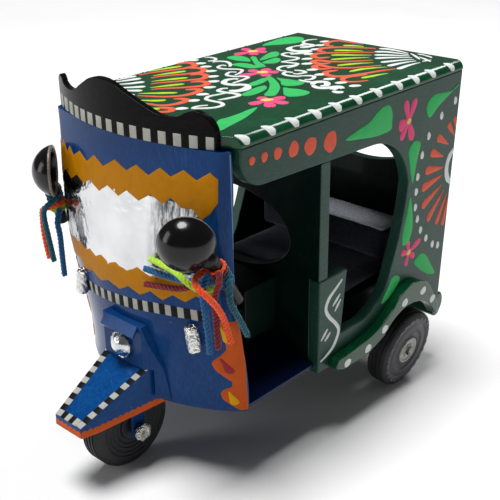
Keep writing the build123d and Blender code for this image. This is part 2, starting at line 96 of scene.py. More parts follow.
class Mat:
    """A node material with its Principled shader and a few short hands for nodes."""

    def __init__(self, name, **own):
        self.m = bpy.data.materials.new(name)
        self.m.use_nodes = True
        self.nt = self.m.node_tree
        self.p = self.nt.nodes["Principled BSDF"]
        for k, v in own.items():
            self.p.inputs[k.replace("_", " ")].default_value = v
        self.co = self.nt.nodes.new("ShaderNodeTexCoord").outputs["Object"]

    def node(self, kind, **kw):
        n = self.nt.nodes.new("ShaderNode" + kind)
        for k, v in kw.items():
            setattr(n, k, v)
        return n

    def link(self, a, b):
        self.nt.links.new(a, b)

    def coords(self, sx=1.0, sy=1.0, sz=1.0, turn=(0, 0, 0)):
        m = self.node("Mapping")
        m.inputs["Scale"].default_value = (sx, sy, sz)
        m.inputs["Rotation"].default_value = turn
        self.link(self.co, m.inputs["Vector"])
        return m.outputs["Vector"]

    def noise(self, scale, detail=3.0, rough=0.55, co=None, distort=0.0):
        n = self.node("TexNoise")
        n.inputs["Scale"].default_value = scale
        n.inputs["Detail"].default_value = detail
        n.inputs["Roughness"].default_value = rough
        n.inputs["Distortion"].default_value = distort
        self.link(co or self.co, n.inputs["Vector"])
        return n.outputs["Fac"]

    def cells(self, scale, feature="F1", co=None):
        n = self.node("TexVoronoi", feature=feature)
        n.inputs["Scale"].default_value = scale
        self.link(co or self.co, n.inputs["Vector"])
        return n.outputs["Distance"]

    def ramp(self, fac, stops, smooth=False):
        n = self.node("ValToRGB")
        if smooth:
            n.color_ramp.interpolation = "EASE"
        el = n.color_ramp.elements
        while len(el) < len(stops):
            el.new(0.5)
        for e, (at, col) in zip(el, stops):
            e.position = at
            e.color = col if hasattr(col, "__len__") else (col, col, col, 1)
        self.link(fac, n.inputs["Fac"])
        return n.outputs["Color"]

    def mix(self, fac, a, b, mode="MIX"):
        n = self.node("Mix", data_type="RGBA", blend_type=mode)
        for v, i in ((fac, 0), (a, 6), (b, 7)):
            if isinstance(v, bpy.types.NodeSocket):
                self.link(v, n.inputs[i])
            else:
                n.inputs[i].default_value = v
        return n.outputs[2]

    def span(self, fac, lo, hi, a=0.0, b=1.0):
        n = self.node("MapRange")
        for k, v in (("From Min", a), ("From Max", b), ("To Min", lo), ("To Max", hi)):
            n.inputs[k].default_value = v
        self.link(fac, n.inputs["Value"])
        return n.outputs["Result"]

    def math(self, op, a, b):
        n = self.node("Math", operation=op)
        for v, i in ((a, 0), (b, 1)):
            if isinstance(v, bpy.types.NodeSocket):
                self.link(v, n.inputs[i])
            else:
                n.inputs[i].default_value = v
        return n.outputs[0]

    def bump(self, height, strength, distance, under=None):
        n = self.node("Bump")
        n.inputs["Strength"].default_value = strength
        n.inputs["Distance"].default_value = distance
        self.link(height, n.inputs["Height"])
        if under is not None:
            self.link(under, n.inputs["Normal"])
        return n.outputs["Normal"]

    def out(self, color=None, rough=None, normal=None, metallic=None):
        for v, k in ((color, "Base Color"), (rough, "Roughness"), (normal, "Normal"), (metallic, "Metallic")):
            if v is not None:
                if isinstance(v, bpy.types.NodeSocket):
                    self.link(v, self.p.inputs[k])
                else:
                    self.p.inputs[k].default_value = v
        return self.m


def enamel(name, dark, base, light, brush=(1, 1, 1), coat=0.2, rough=(0.22, 0.42), strokes=0.25, wear=None, dust=0.25, spec=0.25):
    """Gloss enamel laid on with a brush: streaks along the brush's way, orange peel, faint dust and small chips."""
    m = Mat(name, Coat_Weight=coat, Coat_Roughness=0.07, IOR=1.5, Specular_IOR_Level=spec)
    streak = m.noise(1.0, 4, 0.6, m.coords(*[1500 * b for b in brush]))
    cloud = m.noise(45, 3)
    both = m.math("ADD", m.math("MULTIPLY", streak, 0.55), m.math("MULTIPLY", cloud, 0.45))
    col = m.ramp(both, [(0.32, dark), (0.5, base), (0.68, light)])
    speck = m.ramp(m.noise(1900, 2, 0.5), [(0.66, 0.0), (0.74, 1.0)])
    col = m.mix(m.math("MULTIPLY", speck, dust), col, light)
    if wear:
        chip = m.math("MULTIPLY", m.ramp(m.noise(260, 5, 0.7), [(0.66, 0.0), (0.69, 1.0)]), m.ramp(m.noise(38, 2), [(0.52, 0.0), (0.62, 1.0)]))
        col = m.mix(chip, col, wear)
    r = m.span(m.math("ADD", m.math("MULTIPLY", cloud, 0.6), m.math("MULTIPLY", streak, 0.4)), rough[0], rough[1], 0.3, 0.7)
    n = m.bump(streak, strokes, 0.00012)
    n = m.bump(m.noise(420, 2), 0.18, 0.00025, n)
    n = m.bump(m.noise(55, 2), 0.35, 0.0006, n)
    return m.out(col, r, n)


def paint(name, base, vary=0.05, rough=(0.35, 0.55), coat=0.15):
    """Hand painted ornament: thick paint with faint brush ridges and uneven cover."""
    m = Mat(name, Coat_Weight=coat, Coat_Roughness=0.12, Specular_IOR_Level=0.06)
    dark = tuple(c * (1 - vary * 2) for c in base[:3]) + (1,)
    light = tuple(min(1, c * (1 + vary)) for c in base[:3]) + (1,)
    a = m.noise(330, 4, 0.6)
    col = m.ramp(a, [(0.3, dark), (0.5, base), (0.7, light)])
    n = m.bump(m.noise(900, 3, 0.6), 0.3, 0.0001)
    return m.out(col, m.span(a, rough[0], rough[1], 0.3, 0.7), n)


def foil_material(name, crease, tint=(0.86, 0.87, 0.88, 1), strength=1.0, ends=False):
    m = Mat(name, Metallic=1.0)
    big = m.cells(crease, "DISTANCE_TO_EDGE")
    small = m.cells(crease * 2.7, "DISTANCE_TO_EDGE")
    n = m.bump(m.ramp(big, [(0.0, 0.0), (0.35, 1.0)]), 0.5 * strength, 0.0006)
    n = m.bump(m.ramp(small, [(0.0, 0.0), (0.3, 1.0)]), 0.35 * strength, 0.0003, n)
    n = m.bump(m.noise(crease * 1.3, 4, 0.65, distort=0.6), 0.55 * strength, 0.0007, n)
    col = m.ramp(m.noise(crease * 0.8, 4), [(0.3, tuple(c * 0.78 for c in tint[:3]) + (1,)), (0.65, tint)])
    # ends: dark streaks over both ends of the sheet, a painted dark reflection
    if ends:
        sep = m.node("SeparateXYZ")
        m.link(m.co, sep.inputs[0])
        side = m.math("ADD", m.span(sep.outputs[0], 0.0, 1.0, 0.013, 0.021), m.span(sep.outputs[0], 1.0, 0.0, -0.033, -0.024))
        streak = m.ramp(m.noise(1.0, 4, 0.65, m.coords(620, 40, 150)), [(0.44, 1.0), (0.66, 0.12)])
        col = m.mix(m.math("MULTIPLY", m.math("MULTIPLY", side, streak), 0.92), col, (0.03, 0.032, 0.036, 1))
    return m.out(col, m.span(m.noise(crease * 2, 3), 0.08, 0.26, 0.3, 0.7), n)


def make_materials():
    k = {}
    k["green"] = enamel("green enamel", lin(1, 54, 30), lin(2, 68, 38), lin(10, 84, 52), brush=(1, 0.12, 1), coat=0.6, rough=(0.14, 0.3), wear=lin(60, 96, 80), dust=0.12, spec=0.1)
    # side green: the roof's green enamel made greyer and paler for the side and back boards; the difference is painted
    # light, for how the sides are lit
    k["green_side_painted_light"] = enamel("green enamel, sides, painted light", lin(20, 54, 44), lin(28, 66, 54), lin(48, 86, 72), brush=(1, 0.14, 1.0), coat=0.1, rough=(0.3, 0.5), strokes=0.3, wear=lin(84, 110, 98), dust=0.3, spec=0.2)
    # inside green: the real green enamel darkened to stand in for the shade inside the cab, painted shade
    k["green_in_painted_shade"] = enamel("green enamel, inside, painted shade", lin(2, 16, 12), lin(4, 26, 20), lin(10, 40, 30), brush=(1, 1, 0.16), rough=(0.3, 0.5), coat=0.1, dust=0.25, spec=0.1)
    k["blue"] = enamel("blue enamel on tin", lin(8, 47, 96), lin(12, 56, 110), lin(22, 70, 126), brush=(1, 1, 0.25), coat=0.12, rough=(0.12, 0.22), strokes=0.04, wear=lin(80, 116, 160), dust=0.1, spec=0.08)
    k["blue_top"] = enamel("blue enamel, mudguard", lin(4, 52, 104), lin(8, 62, 120), lin(16, 76, 136), brush=(0.5, 0.14, 1), coat=0.12, rough=(0.16, 0.3), strokes=0.12, wear=lin(80, 120, 170), dust=0.12, spec=0.08)
    # navy: the blue enamel darkened for the header and front floor inside the shell, its own blue plus painted shade
    k["navy"] = enamel("navy inside", lin(8, 20, 50), lin(14, 28, 66), lin(22, 38, 84), coat=0.1, rough=(0.24, 0.42), strokes=0.15, spec=0.15)
    k["black"] = enamel("black gloss", lin(9, 8, 9), lin(13, 11, 12), lin(24, 20, 20), brush=(0.2, 0.2, 1), coat=0.04, rough=(0.12, 0.26), strokes=0.1, wear=lin(64, 58, 56), dust=0.2, spec=0.04)
    k["dome"] = enamel("black gloss, domes", lin(9, 8, 9), lin(12, 10, 12), lin(20, 17, 18), coat=0.2, rough=(0.14, 0.26), strokes=0.03, dust=0.1, spec=0.25)
    # the windscreen foil carries painted dark reflections at its ends
    k["foil"] = foil_material("crumpled foil", 60, (0.74, 0.75, 0.76, 1), strength=0.15, ends=True)
    k["foil_small"] = foil_material("crumpled foil, small", 420, (0.82, 0.83, 0.80, 1))
    # rubber
    m = Mat("rubber tread", Specular_IOR_Level=0.4)
    c = m.noise(300, 4)
    k["rubber"] = m.out(m.ramp(c, [(0.3, lin(18, 18, 21)), (0.7, lin(38, 38, 42))]), m.span(c, 0.5, 0.75, 0.3, 0.7), m.bump(m.noise(1500, 3), 0.35, 0.0001))
    m = Mat("rubber sidewall", Specular_IOR_Level=0.4)
    c = m.noise(220, 4)
    k["sidewall"] = m.out(m.ramp(c, [(0.3, lin(32, 32, 36)), (0.7, lin(58, 58, 64))]), m.span(c, 0.32, 0.55, 0.3, 0.7), m.bump(m.noise(1300, 3), 0.3, 0.0001))
    m = Mat("hub plastic", Specular_IOR_Level=0.45)
    c = m.noise(380, 4)
    k["hub"] = m.out(m.ramp(c, [(0.3, lin(136, 136, 132)), (0.7, lin(188, 188, 182))]), m.span(c, 0.35, 0.55, 0.3, 0.7), m.bump(m.noise(900, 3), 0.25, 0.0001))
    m = Mat("hub plastic, front", Specular_IOR_Level=0.3)
    c = m.noise(380, 4)
    k["hub_dark"] = m.out(m.ramp(c, [(0.3, lin(22, 24, 30)), (0.7, lin(44, 50, 62))]), m.span(c, 0.4, 0.6, 0.3, 0.7), m.bump(m.noise(900, 3), 0.25, 0.0001))
    m = Mat("wire", Metallic=1.0)
    c = m.noise(500, 3, 0.5, m.coords(0.2, 1, 1))
    k["wire"] = m.out(m.ramp(c, [(0.3, lin(84, 82, 80)), (0.7, lin(168, 166, 162))]), m.span(c, 0.25, 0.5, 0.3, 0.7), m.bump(c, 0.3, 0.0001))
    m = Mat("dark stick", Coat_Weight=0.25, Coat_Roughness=0.25, Specular_IOR_Level=0.2)
    c = m.noise(1.0, 4, 0.6, m.coords(1300, 1300, 240))
    k["stick"] = m.out(m.ramp(c, [(0.3, lin(9, 8, 10)), (0.6, lin(22, 16, 16)), (0.8, lin(44, 32, 28))]), m.span(c, 0.3, 0.55, 0.3, 0.7), m.bump(c, 0.5, 0.0003))
    # plush seats
    m = Mat("dark plush", Sheen_Weight=0.7, Sheen_Roughness=0.4, Specular_IOR_Level=0.2)
    m.p.inputs["Sheen Tint"].default_value = (0.5, 0.52, 0.6, 1)
    c = m.noise(700, 5, 0.7)
    k["plush"] = m.out(m.ramp(c, [(0.3, lin(16, 17, 22)), (0.7, lin(46, 48, 58))]), m.span(c, 0.75, 0.95), m.bump(m.noise(2600, 4, 0.7), 0.8, 0.0004, m.bump(m.noise(160, 3), 0.4, 0.0008)))
    m = Mat("felt", Sheen_Weight=0.6, Sheen_Roughness=0.5, Specular_IOR_Level=0.2)
    m.p.inputs["Sheen Tint"].default_value = (0.8, 0.82, 0.9, 1)
    c = m.noise(900, 5, 0.75)
    k["felt"] = m.out(m.ramp(c, [(0.3, lin(150, 158, 180)), (0.52, lin(226, 232, 244)), (0.68, lin(255, 255, 255))]), m.span(c, 0.8, 0.98), m.bump(m.noise(1500, 4, 0.7), 1.0, 0.0007))
    # yarn
    for key, col in (("orange", (246, 84, 22)), ("teal", (4, 86, 104)), ("lime", (178, 222, 56)), ("yblue", (10, 88, 142)), ("maroon", (126, 26, 34))):
        m = Mat("yarn " + key, Sheen_Weight=0.5, Sheen_Roughness=0.4, Specular_IOR_Level=0.25)
        base = lin(*col)
        c = m.noise(1.0, 4, 0.7, m.coords(2600, 2600, 700))
        k["yarn_" + key] = m.out(m.ramp(c, [(0.3, tuple(v * 0.62 for v in base[:3]) + (1,)), (0.5, base), (0.72, tuple(min(1, v * 1.3 + 0.02) for v in base[:3]) + (1,))]),
                                 0.85, m.bump(c, 0.6, 0.0003))
    # ornament paints
    # the pale edge blue is a painted highlight along the tin's rear edges
    for key, col in (("white", (226, 230, 228)), ("coral", (228, 100, 76)), ("lime", (176, 216, 52)), ("pink", (232, 84, 132)), ("leaf", (62, 186, 102)),
                     ("yellow", (226, 214, 96)), ("ochre", (180, 117, 2)), ("drop_yellow", (214, 156, 8)), ("drop_maroon", (146, 44, 50)),
                     ("trim", (196, 86, 32)), ("rust", (190, 82, 26)), ("check_light", (168, 168, 160)), ("check_dark", (24, 24, 28)), ("edge_blue", (108, 140, 184))):
        k["p_" + key] = paint("paint " + key, lin(*col), coat=0.02)
    return k


M = make_materials()


# ------------------------------------------------------------------ mesh helpers
def new_object(name, verts, faces, mats, body="body", fmat=None, smooth=True, sharp=None):
    """verts in body stations, mm."""
    v = np.asarray(verts, float).reshape(-1, 3)
    v = v @ TO_NP[:3, :3].T + TO_NP[:3, 3]
    me = bpy.data.meshes.new(name)
    me.from_pydata(v.tolist(), [], [tuple(f) for f in faces])
    mats = mats if isinstance(mats, (list, tuple)) else [mats]
    for m in mats:
        me.materials.append(m)
    if fmat is not None:
        me.polygons.foreach_set("material_index", list(fmat))
    me.polygons.foreach_set("use_smooth", [smooth] * len(me.polygons))
    me.update()
    if sharp is not None:
        me.set_sharp_from_angle(angle=math.radians(sharp))
    ob = bpy.data.objects.new(name, me)
    bpy.context.scene.collection.objects.link(ob)
    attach(ob, body)
    return ob


def catmull(pts, step=0.5, closed=False):
    P = [np.asarray(p, float) for p in pts]
    n = len(P)
    out = []
    rng = range(n if closed else n - 1)
    for i in rng:
        if closed:
            a, b, c, d = P[(i - 1) % n], P[i], P[(i + 1) % n], P[(i + 2) % n]
        else:
            b, c = P[i], P[i + 1]
            a = P[i - 1] if i > 0 else 2 * b - c
            d = P[i + 2] if i + 2 < n else 2 * c - b
        m = max(2, int(np.linalg.norm(c - b) / step))
        for k in range(m):
            t = k / m
            out.append(0.5 * ((2 * b) + (c - a) * t + (2 * a - 5 * b + 4 * c - d) * t * t + (3 * b - a - 3 * c + d) * t ** 3))
    if not closed:
        out.append(P[-1])
    return np.array(out)


def bvh_of(node):
    me = NODES[node].data
    vs = [FROM_M @ v.co for v in me.vertices]
    return BVHTree.FromPolygons(vs, [tuple(p.vertices) for p in me.polygons])


class Paintwork:
    """Thin raised paint, gathered by colour."""

    def __init__(self):
        self.v, self.f = {}, {}

    def add(self, col, verts, faces):
        V, F = self.v.setdefault(col, []), self.f.setdefault(col, [])
        base = len(V)
        V.extend(verts)
        F.extend([tuple(i + base for i in f) for f in faces])

    def line(self, col, surf, pts, width, h=0.16, step=0.5, closed=False, smooth=True):
        """A brush stroke along pts. width is a number, or rows of (share of the way, width)."""
        c = catmull(pts, step, closed) if smooth else np.array(pts, float)
        n = len(c)
        if closed:
            d = np.roll(c, -1, 0) - np.roll(c, 1, 0)
        else:
            d = np.gradient(c, axis=0)
        d /= np.maximum(np.linalg.norm(d, axis=1), 1e-9)[:, None]
        s = np.r_[0, np.cumsum(np.linalg.norm(np.diff(c, axis=0), axis=1))]
        s /= s[-1]
        if hasattr(width, "__len__"):
            w = np.interp(s, [a for a, _ in width], [b for _, b in width])
        else:
            w = np.full(n, float(width))
        verts, faces = [], []
        prof = ((-1.0, -0.03), (-0.82, 0.7), (0.0, 1.0), (0.82, 0.7), (1.0, -0.03))
        for i in range(n):
            q = np.array((-d[i][1], d[i][0]))
            hh = h * min(1.0, w[i] / 1.0 + 0.1)
            for a, b in prof:
                p, nn = surf(*(c[i] + q * a * w[i] / 2))
                verts.append(np.array(p) + np.array(nn) * (b * hh + 0.015))
        m = len(prof)
        for i in range(n if closed else n - 1):
            j = (i + 1) % n
            for k in range(m - 1):
                faces.append((i * m + k, i * m + k + 1, j * m + k + 1, j * m + k))
        self.add(col, verts, faces)

    def drop(self, col, surf, a, b, w, h=0.16, tip=0.12):
        """A teardrop from its tip a to its broad end b, w wide."""
        a, b = np.array(a, float), np.array(b, float)
        L = np.linalg.norm(b - a)
        k = min(0.45, w / 2 / L)
        rows = [(0, tip * w), (0.35, 0.55 * w), (1 - k, w), (1 - k * 0.45, 0.86 * w), (1 - k * 0.12, 0.5 * w), (1, 0.05)]
        self.line(col, surf, [a + (b - a) * t for t in (0, 0.25, 0.5, 0.75, 1 - k * 0.5, 1)], rows, h, step=0.3)

    def spot(self, col, surf, c, rx, ry, ang=0.0, h=0.2, seg=18):
        verts, faces = [], []
        ca, sa = math.cos(math.radians(ang)), math.sin(math.radians(ang))
        p, nn = surf(*c)
        verts.append(np.array(p) + np.array(nn) * (h + 0.015))
        for ring, (rr, hh) in enumerate(((0.55, 0.92), (0.86, 0.66), (1.0, -0.03))):
            for i in range(seg):
                t = 2 * math.pi * i / seg
                wob = 1 + 0.05 * math.sin(3 * t + c[0]) + 0.03 * math.sin(5 * t + c[1])
                x, y = rx * rr * math.cos(t) * wob, ry * rr * math.sin(t) * wob
                p, nn = surf(c[0] + x * ca - y * sa, c[1] + x * sa + y * ca)
                verts.append(np.array(p) + np.array(nn) * (hh * h + 0.015))
        for i in range(seg):
            j = (i + 1) % seg
            faces.append((0, 1 + i, 1 + j))
            for r in range(2):
                a, b = 1 + r * seg, 1 + (r + 1) * seg
                faces.append((a + i, b + i, b + j, a + j))
        self.add(col, verts, faces)

    def area(self, col, surf, outline, h=0.18, edge=0.35, smooth=True, step=0.6):
        """A painted patch with a rounded rim, on a flat face."""
        c = catmull(outline, step, True) if smooth else np.array(outline, float)
        nxt, prv = np.roll(c, -1, 0), np.roll(c, 1, 0)
        d = nxt - prv
        d /= np.maximum(np.linalg.norm(d, axis=1), 1e-9)[:, None]
        area2 = np.sum(c[:, 0] * nxt[:, 1] - nxt[:, 0] * c[:, 1])
        q = np.stack([-d[:, 1], d[:, 0]], 1) * (1 if area2 > 0 else -1)
        verts, faces = [], []
        n = len(c)
        for off, hh in ((0.0, -0.03), (edge * 0.4, 0.7), (edge, 1.0)):
            for x in c + q * off:
                p, nn = surf(*x)
                verts.append(np.array(p) + np.array(nn) * (hh * h + 0.015))
        for r in range(2):
            for i in range(n):
                j = (i + 1) % n
                faces.append((r * n + i, r * n + j, (r + 1) * n + j, (r + 1) * n + i))
        inner = [Vector((x[0], x[1], 0)) for x in c + q * edge]
        for t in tessellate_polygon([inner]):
            faces.append(tuple(2 * n + i for i in t))
        self.add(col, verts, faces)

    def strip(self, col, surf, u0, u1, top, bottom, h=0.18, du=0.5, rows=5, edge=0.35):
        """A band between two polylines top and bottom, given as rows (u, v)."""
        n = max(2, int((u1 - u0) / du) + 1)
        us = sorted(set(list(np.linspace(u0, u1, n)) + [p[0] for p in top if u0 < p[0] < u1] + [p[0] for p in bottom if u0 < p[0] < u1]))
        tv = np.interp(us, [p[0] for p in top], [p[1] for p in top])
        bv = np.interp(us, [p[0] for p in bottom], [p[1] for p in bottom])
        verts, faces = [], []
        lev = [(0, -0.03), (0.3, 0.8)] + [(None, 1.0)] * rows + [(0.3, 0.8), (0, -0.03)]
        m = len(lev)
        for i, (u, t, b) in enumerate(zip(us, tv, bv)):
            e = min(edge, (t - b) * 0.3)
            vals = [b, b + e * 0.4] + list(np.linspace(b + e, t - e, rows)) + [t - e * 0.4, t]
            hs = [-0.03, 0.7] + [1.0] * rows + [0.7, -0.03]
            endf = 0.0 if i in (0, len(us) - 1) else 1.0
            for v, hh in zip(vals, hs):
                p, nn = surf(u, v)
                verts.append(np.array(p) + np.array(nn) * ((hh * endf - (1 - endf) * 0.03) * h + 0.015))
        for i in range(len(us) - 1):
            for k in range(m - 1):
                faces.append((i * m + k, (i + 1) * m + k, (i + 1) * m + k + 1, i * m + k + 1))
        self.add(col, verts, faces)

    def build(self, prefix, mats, body="body"):
        for col in sorted(self.v):
            new_object("%s_%s" % (prefix, col), self.v[col], self.f[col], mats["p_" + col], body)


# ------------------------------------------------------------------ yarn ends (the free cords)
YARN_D = 2.4
YARN_ROUTES = {
    "yarn_left_blue_hang": [(45.3, -152.4, 98.9), (44.4, -154.9, 95.4), (45.2, -156.0, 92.2), (45.4, -155.4, 86.4), (45.4, -154.6, 80.5), (45.8, -154.1, 74.6), (45.6, -153.9, 68.7)],
    "yarn_left_maroon_hang": [(48.3, -150.9, 99.9), (50.0, -152.4, 96.7), (48.6, -153.3, 93.1), (47.0, -152.4, 88.2), (46.2, -150.9, 81.8), (45.7, -150.1, 75.2), (45.6, -149.6, 68.7)],
    "yarn_left_orange": [(42.8, -150.8, 98.8), (41.4, -153.8, 97.6), (42.8, -157.2, 97.2), (46.0, -159.2, 96.4), (49.2, -157.9, 93.6), (49.8, -153.6, 88.2), (49.3, -149.2, 80.0), (48.9, -146.8, 71.1)],
    "yarn_left_teal": [(48.8, -147.0, 96.2), (50.0, -147.8, 92.9), (49.3, -147.4, 87.2), (48.2, -141.6, 78.4), (47.4, -136.4, 69.0)],
    "yarn_left_lime": [(44.3, -147.9, 92.0), (42.0, -151.3, 90.3), (40.4, -154.6, 92.4), (36.7, -155.6, 94.5), (31.6, -154.6, 95.7), (24.0, -153.8, 95.8), (16.6, -153.2, 95.9)],
    "yarn_left_blue_tail": [(43.9, -149.9, 95.4), (39.7, -152.3, 94.3), (34.2, -151.8, 92.0), (24.4, -152.6, 90.9), (14.6, -154.4, 92.0)],
    "yarn_left_maroon_tail": [(42.6, -147.7, 94.3), (37.9, -148.8, 93.6), (32.8, -150.7, 88.2), (23.6, -152.2, 86.2), (14.3, -154.6, 85.8)],
    "yarn_right_orange": [(-41.2, -148.0, 99.9), (-42.2, -151.2, 99.2), (-46.0, -152.8, 98.2), (-48.1, -151.6, 93.6), (-48.6, -151.4, 88.2), (-48.3, -151.1, 81.8), (-47.7, -150.6, 75.4)],
    "yarn_right_teal": [(-41.3, -149.0, 102.4), (-40.6, -152.5, 101.6), (-42.2, -154.9, 99.2), (-42.0, -155.0, 94.8), (-42.0, -153.7, 85.4), (-42.8, -152.0, 76.1)],
    "yarn_right_blue": [(-42.1, -147.1, 97.2), (-40.2, -149.2, 96.2), (-40.0, -150.7, 92.9), (-39.4, -150.2, 88.8), (-40.4, -149.6, 78.9), (-41.0, -149.0, 69.1)],
}


def route_line(name, pts):
    """Points along the route's smooth NURBS line, in metres."""
    cu = bpy.data.curves.new(name + "_route", "CURVE")
    cu.dimensions = "3D"
    cu.resolution_u = 24
    sp = cu.splines.new("NURBS")
    sp.points.add(len(pts) - 1)
    for q, p in zip(sp.points, pts):
        q.co = (*W(p), 1)
    sp.order_u = 3
    sp.use_endpoint_u = True
    sp.resolution_u = 24
    ob = bpy.data.objects.new(name + "_route", cu)
    bpy.context.scene.collection.objects.link(ob)
    bpy.context.view_layer.update()
    me = bpy.data.meshes.new_from_object(ob)
    line = [v.co.copy() for v in me.vertices]
    bpy.data.objects.remove(ob)
    bpy.data.curves.remove(cu)
    bpy.data.meshes.remove(me)
    return line


def even(line, step):
    P = np.array([list(p) for p in line])
    s = np.r_[0, np.cumsum(np.linalg.norm(np.diff(P, axis=0), axis=1))]
    n = max(4, int(s[-1] / step))
    t = np.linspace(0, s[-1], n + 1)
    return np.stack([np.interp(t, s, P[:, k]) for k in range(3)], 1), s[-1]


def frames_along(P):
    T = np.gradient(P, axis=0)
    T /= np.linalg.norm(T, axis=1)[:, None]
    a = np.cross(T[0], (0.3, 0.2, 0.93))
    a /= np.linalg.norm(a)
    A = [a]
    for i in range(1, len(P)):
        a = A[-1] - T[i] * (A[-1] @ T[i])
        A.append(a / np.linalg.norm(a))
    A = np.array(A)
    return T, A, np.cross(T, A)


def twisted(P, radius, plies=3, pitch=5.2e-3, ply_r=0.54, sides=10, phase=0.0, rough=0.06, seed=1, fray=0.0):
    """Plies wound round the line P: verts and faces in the line's own units."""
    T, A, B = frames_along(P)
    s = np.r_[0, np.cumsum(np.linalg.norm(np.diff(P, axis=0), axis=1))]
    verts, faces = [], []
    rnd = random.Random(seed)
    n = len(P)
    for k in range(plies):
        rr = radius * ply_r
        base = len(verts)
        centre = []
        for i in range(n):
            t = phase + 2 * math.pi * (k / plies + s[i] / pitch)
            open_ = 1.0 + fray * max(0.0, (i / (n - 1) - 0.86) / 0.14) ** 2
            off = (radius - rr) * open_
            centre.append(P[i] + off * (math.cos(t) * A[i] + math.sin(t) * B[i]))
        centre = np.array(centre)
        t2, a2, b2 = frames_along(centre)
        for i in range(n):
            e = min(i, n - 1 - i)
            cap = math.sqrt(max(0.02, 1 - max(0, 1 - e / 2.2) ** 2))
            for j in range(sides):
                u = 2 * math.pi * j / sides
                w = 1 + rough * (noise.noise(Vector((s[i] * 900 + k * 7.1, j * 0.9, seed * 3.3))))
                ridge = 1 + 0.05 * math.cos(5 * u - 2 * math.pi * s[i] / (pitch * 0.35))
                v = centre[i] + rr * cap * min(w * ridge, 1.06) * (math.cos(u) * a2[i] + math.sin(u) * b2[i])
                verts.append(v)
        for i in range(n - 1):
            for j in range(sides):
                j2 = (j + 1) % sides
                faces.append((base + i * sides + j, base + i * sides + j2, base + (i + 1) * sides + j2, base + (i + 1) * sides + j))
        faces.append(tuple(base + j for j in range(sides))[::-1])
        faces.append(tuple(base + (n - 1) * sides + j for j in range(sides)))
    return verts, faces


def fibres(P, radius, count, seed, length=1.6e-3, thick=0.035e-3):
    """Stray fibres standing off a strand."""
    T, A, B = frames_along(P)
    rnd = random.Random(seed)
    verts, faces = [], []
    for _ in range(count):
        i = rnd.randrange(1, len(P) - 1)
        u = rnd.uniform(0, 2 * math.pi)
        d = math.cos(u) * A[i] + math.sin(u) * B[i]
        along = rnd.uniform(-1, 1)
        p = P[i] + d * radius * 0.9
        q = d * 0.35 + T[i] * along
        q /= np.linalg.norm(q)
        L = length * rnd.uniform(0.5, 1.0)
        side = np.cross(d, q)
        pts = [p, p + q * L * 0.5 + d * L * 0.08, p + q * L + d * L * rnd.uniform(-0.1, 0.18)]
        b = len(verts)
        for k, x in enumerate(pts):
            w = thick * (1 - 0.35 * k)
            for a in range(3):
                t = 2 * math.pi * a / 3
                verts.append(x + w * (math.cos(t) * side + math.sin(t) * d))
        for k in range(2):
            for a in range(3):
                c = (a + 1) % 3
                faces.append((b + k * 3 + a, b + k * 3 + c, b + k * 3 + 3 + c, b + k * 3 + 3 + a))
    return verts, faces


def metre_object(name, verts, faces, mat, body="body"):
    me = bpy.data.meshes.new(name)
    me.from_pydata([tuple(v) for v in verts], [], faces)
    me.materials.append(mat)
    me.polygons.foreach_set("use_smooth", [True] * len(me.polygons))
    ob = bpy.data.objects.new(name, me)
    bpy.context.scene.collection.objects.link(ob)
    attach(ob, body)
    return ob


def make_yarn():
    for i, (name, pts) in enumerate(YARN_ROUTES.items()):
        key = next(c for c in ("orange", "teal", "lime", "blue", "maroon") if c in name)
        mat = M["yarn_" + ("yblue" if key == "blue" else key)]
        line = route_line(name, pts)
        P, L = even(line, 0.28e-3)
        v, f = twisted(P, YARN_D / 2000, seed=i + 1, phase=i * 0.8)
        ob = metre_object(name + "_yarn", v, f, mat)
        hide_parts(name)
        v, f = fibres(P, YARN_D / 2000, 70, 40 + i)
        fz = metre_object(name + "_fibres", v, f, mat)


make_yarn()


def winding(name, foot, head, t, length, rows, r_core=2.32):
    """Yarn wound round a stick. rows: share of the length where a colour starts and ends, colour, turns."""
    a, b = Vector(foot), Vector(head)
    d = (b - a)
    c = a + d * t
    d.normalize()
    e1 = d.cross(Vector((0, 0, 1))).normalized()
    e2 = d.cross(e1)
    for k, (s0, s1, key, turns, ph) in enumerate(rows):
        P = []
        n = int(turns * 36)
        for i in range(n + 1):
            u = i / n
            ang = 2 * math.pi * turns * u + ph
            h = length * ((s0 + (s1 - s0) * u) - 0.5) + 0.12 * math.sin(ang * 1.7 + k)
            r = r_core + 0.62 + 0.08 * math.sin(ang * 2.3 + ph)
            P.append(c + d * h + (e1 * math.cos(ang) + e2 * math.sin(ang)) * r)
        P = np.array([list(TO_M @ p) for p in P])
        v, f = twisted(P, 0.66e-3, plies=2, pitch=3.0e-3, sides=8, seed=70 + k, ply_r=0.62)
        ob = metre_object("%s_%s_%d" % (name, key, k), v, f, M["yarn_" + ("yblue" if key == "blue" else key)])
        if k == 0:
            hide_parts(name)


STALK = {"left": ((45.6, -139.6, 84.0), (45.4, -150.6, 102.4)), "right": ((-46.3, -143.3, 90.2), (-44.6, -147.6, 104.6))}
winding("tassel_tie_left", *STALK["left"], 0.70, 9.0, [(0.02, 0.36, "blue", 2.4, 0.3), (0.38, 0.62, "teal", 1.8, 1.6), (0.66, 0.84, "maroon", 1.3, 0.6), (0.86, 0.99, "orange", 1.1, 2.2)])
winding("tassel_tie_right", *STALK["right"], 0.72, 9.0, [(0.02, 0.3, "lime", 2.0, 0.2), (0.32, 0.6, "orange", 2.0, 1.1), (0.64, 0.97, "teal", 2.3, 0.5)])


# ------------------------------------------------------------------ faces that carry ornament
ROOF_Z = 141.8


def on_roof(y, x):
    return (x, y, ROOF_Z), (0, 0, 1)


def side_of(s):
    def f(y, z):
        return (s * 46.0, y, z), (s, 0, 0)
    return f


def fender_of(s):
    def f(y, z):
        return (s * 50.4, y, z), (s, 0, 0)
    return f


def on_rear(x, z):
    """The leaning back board; x runs across it."""
    n = math.hypot(1, 0.05)
    return (x, -0.05 * (141.8 - z), z), (0, 1 / n, -0.05 / n)


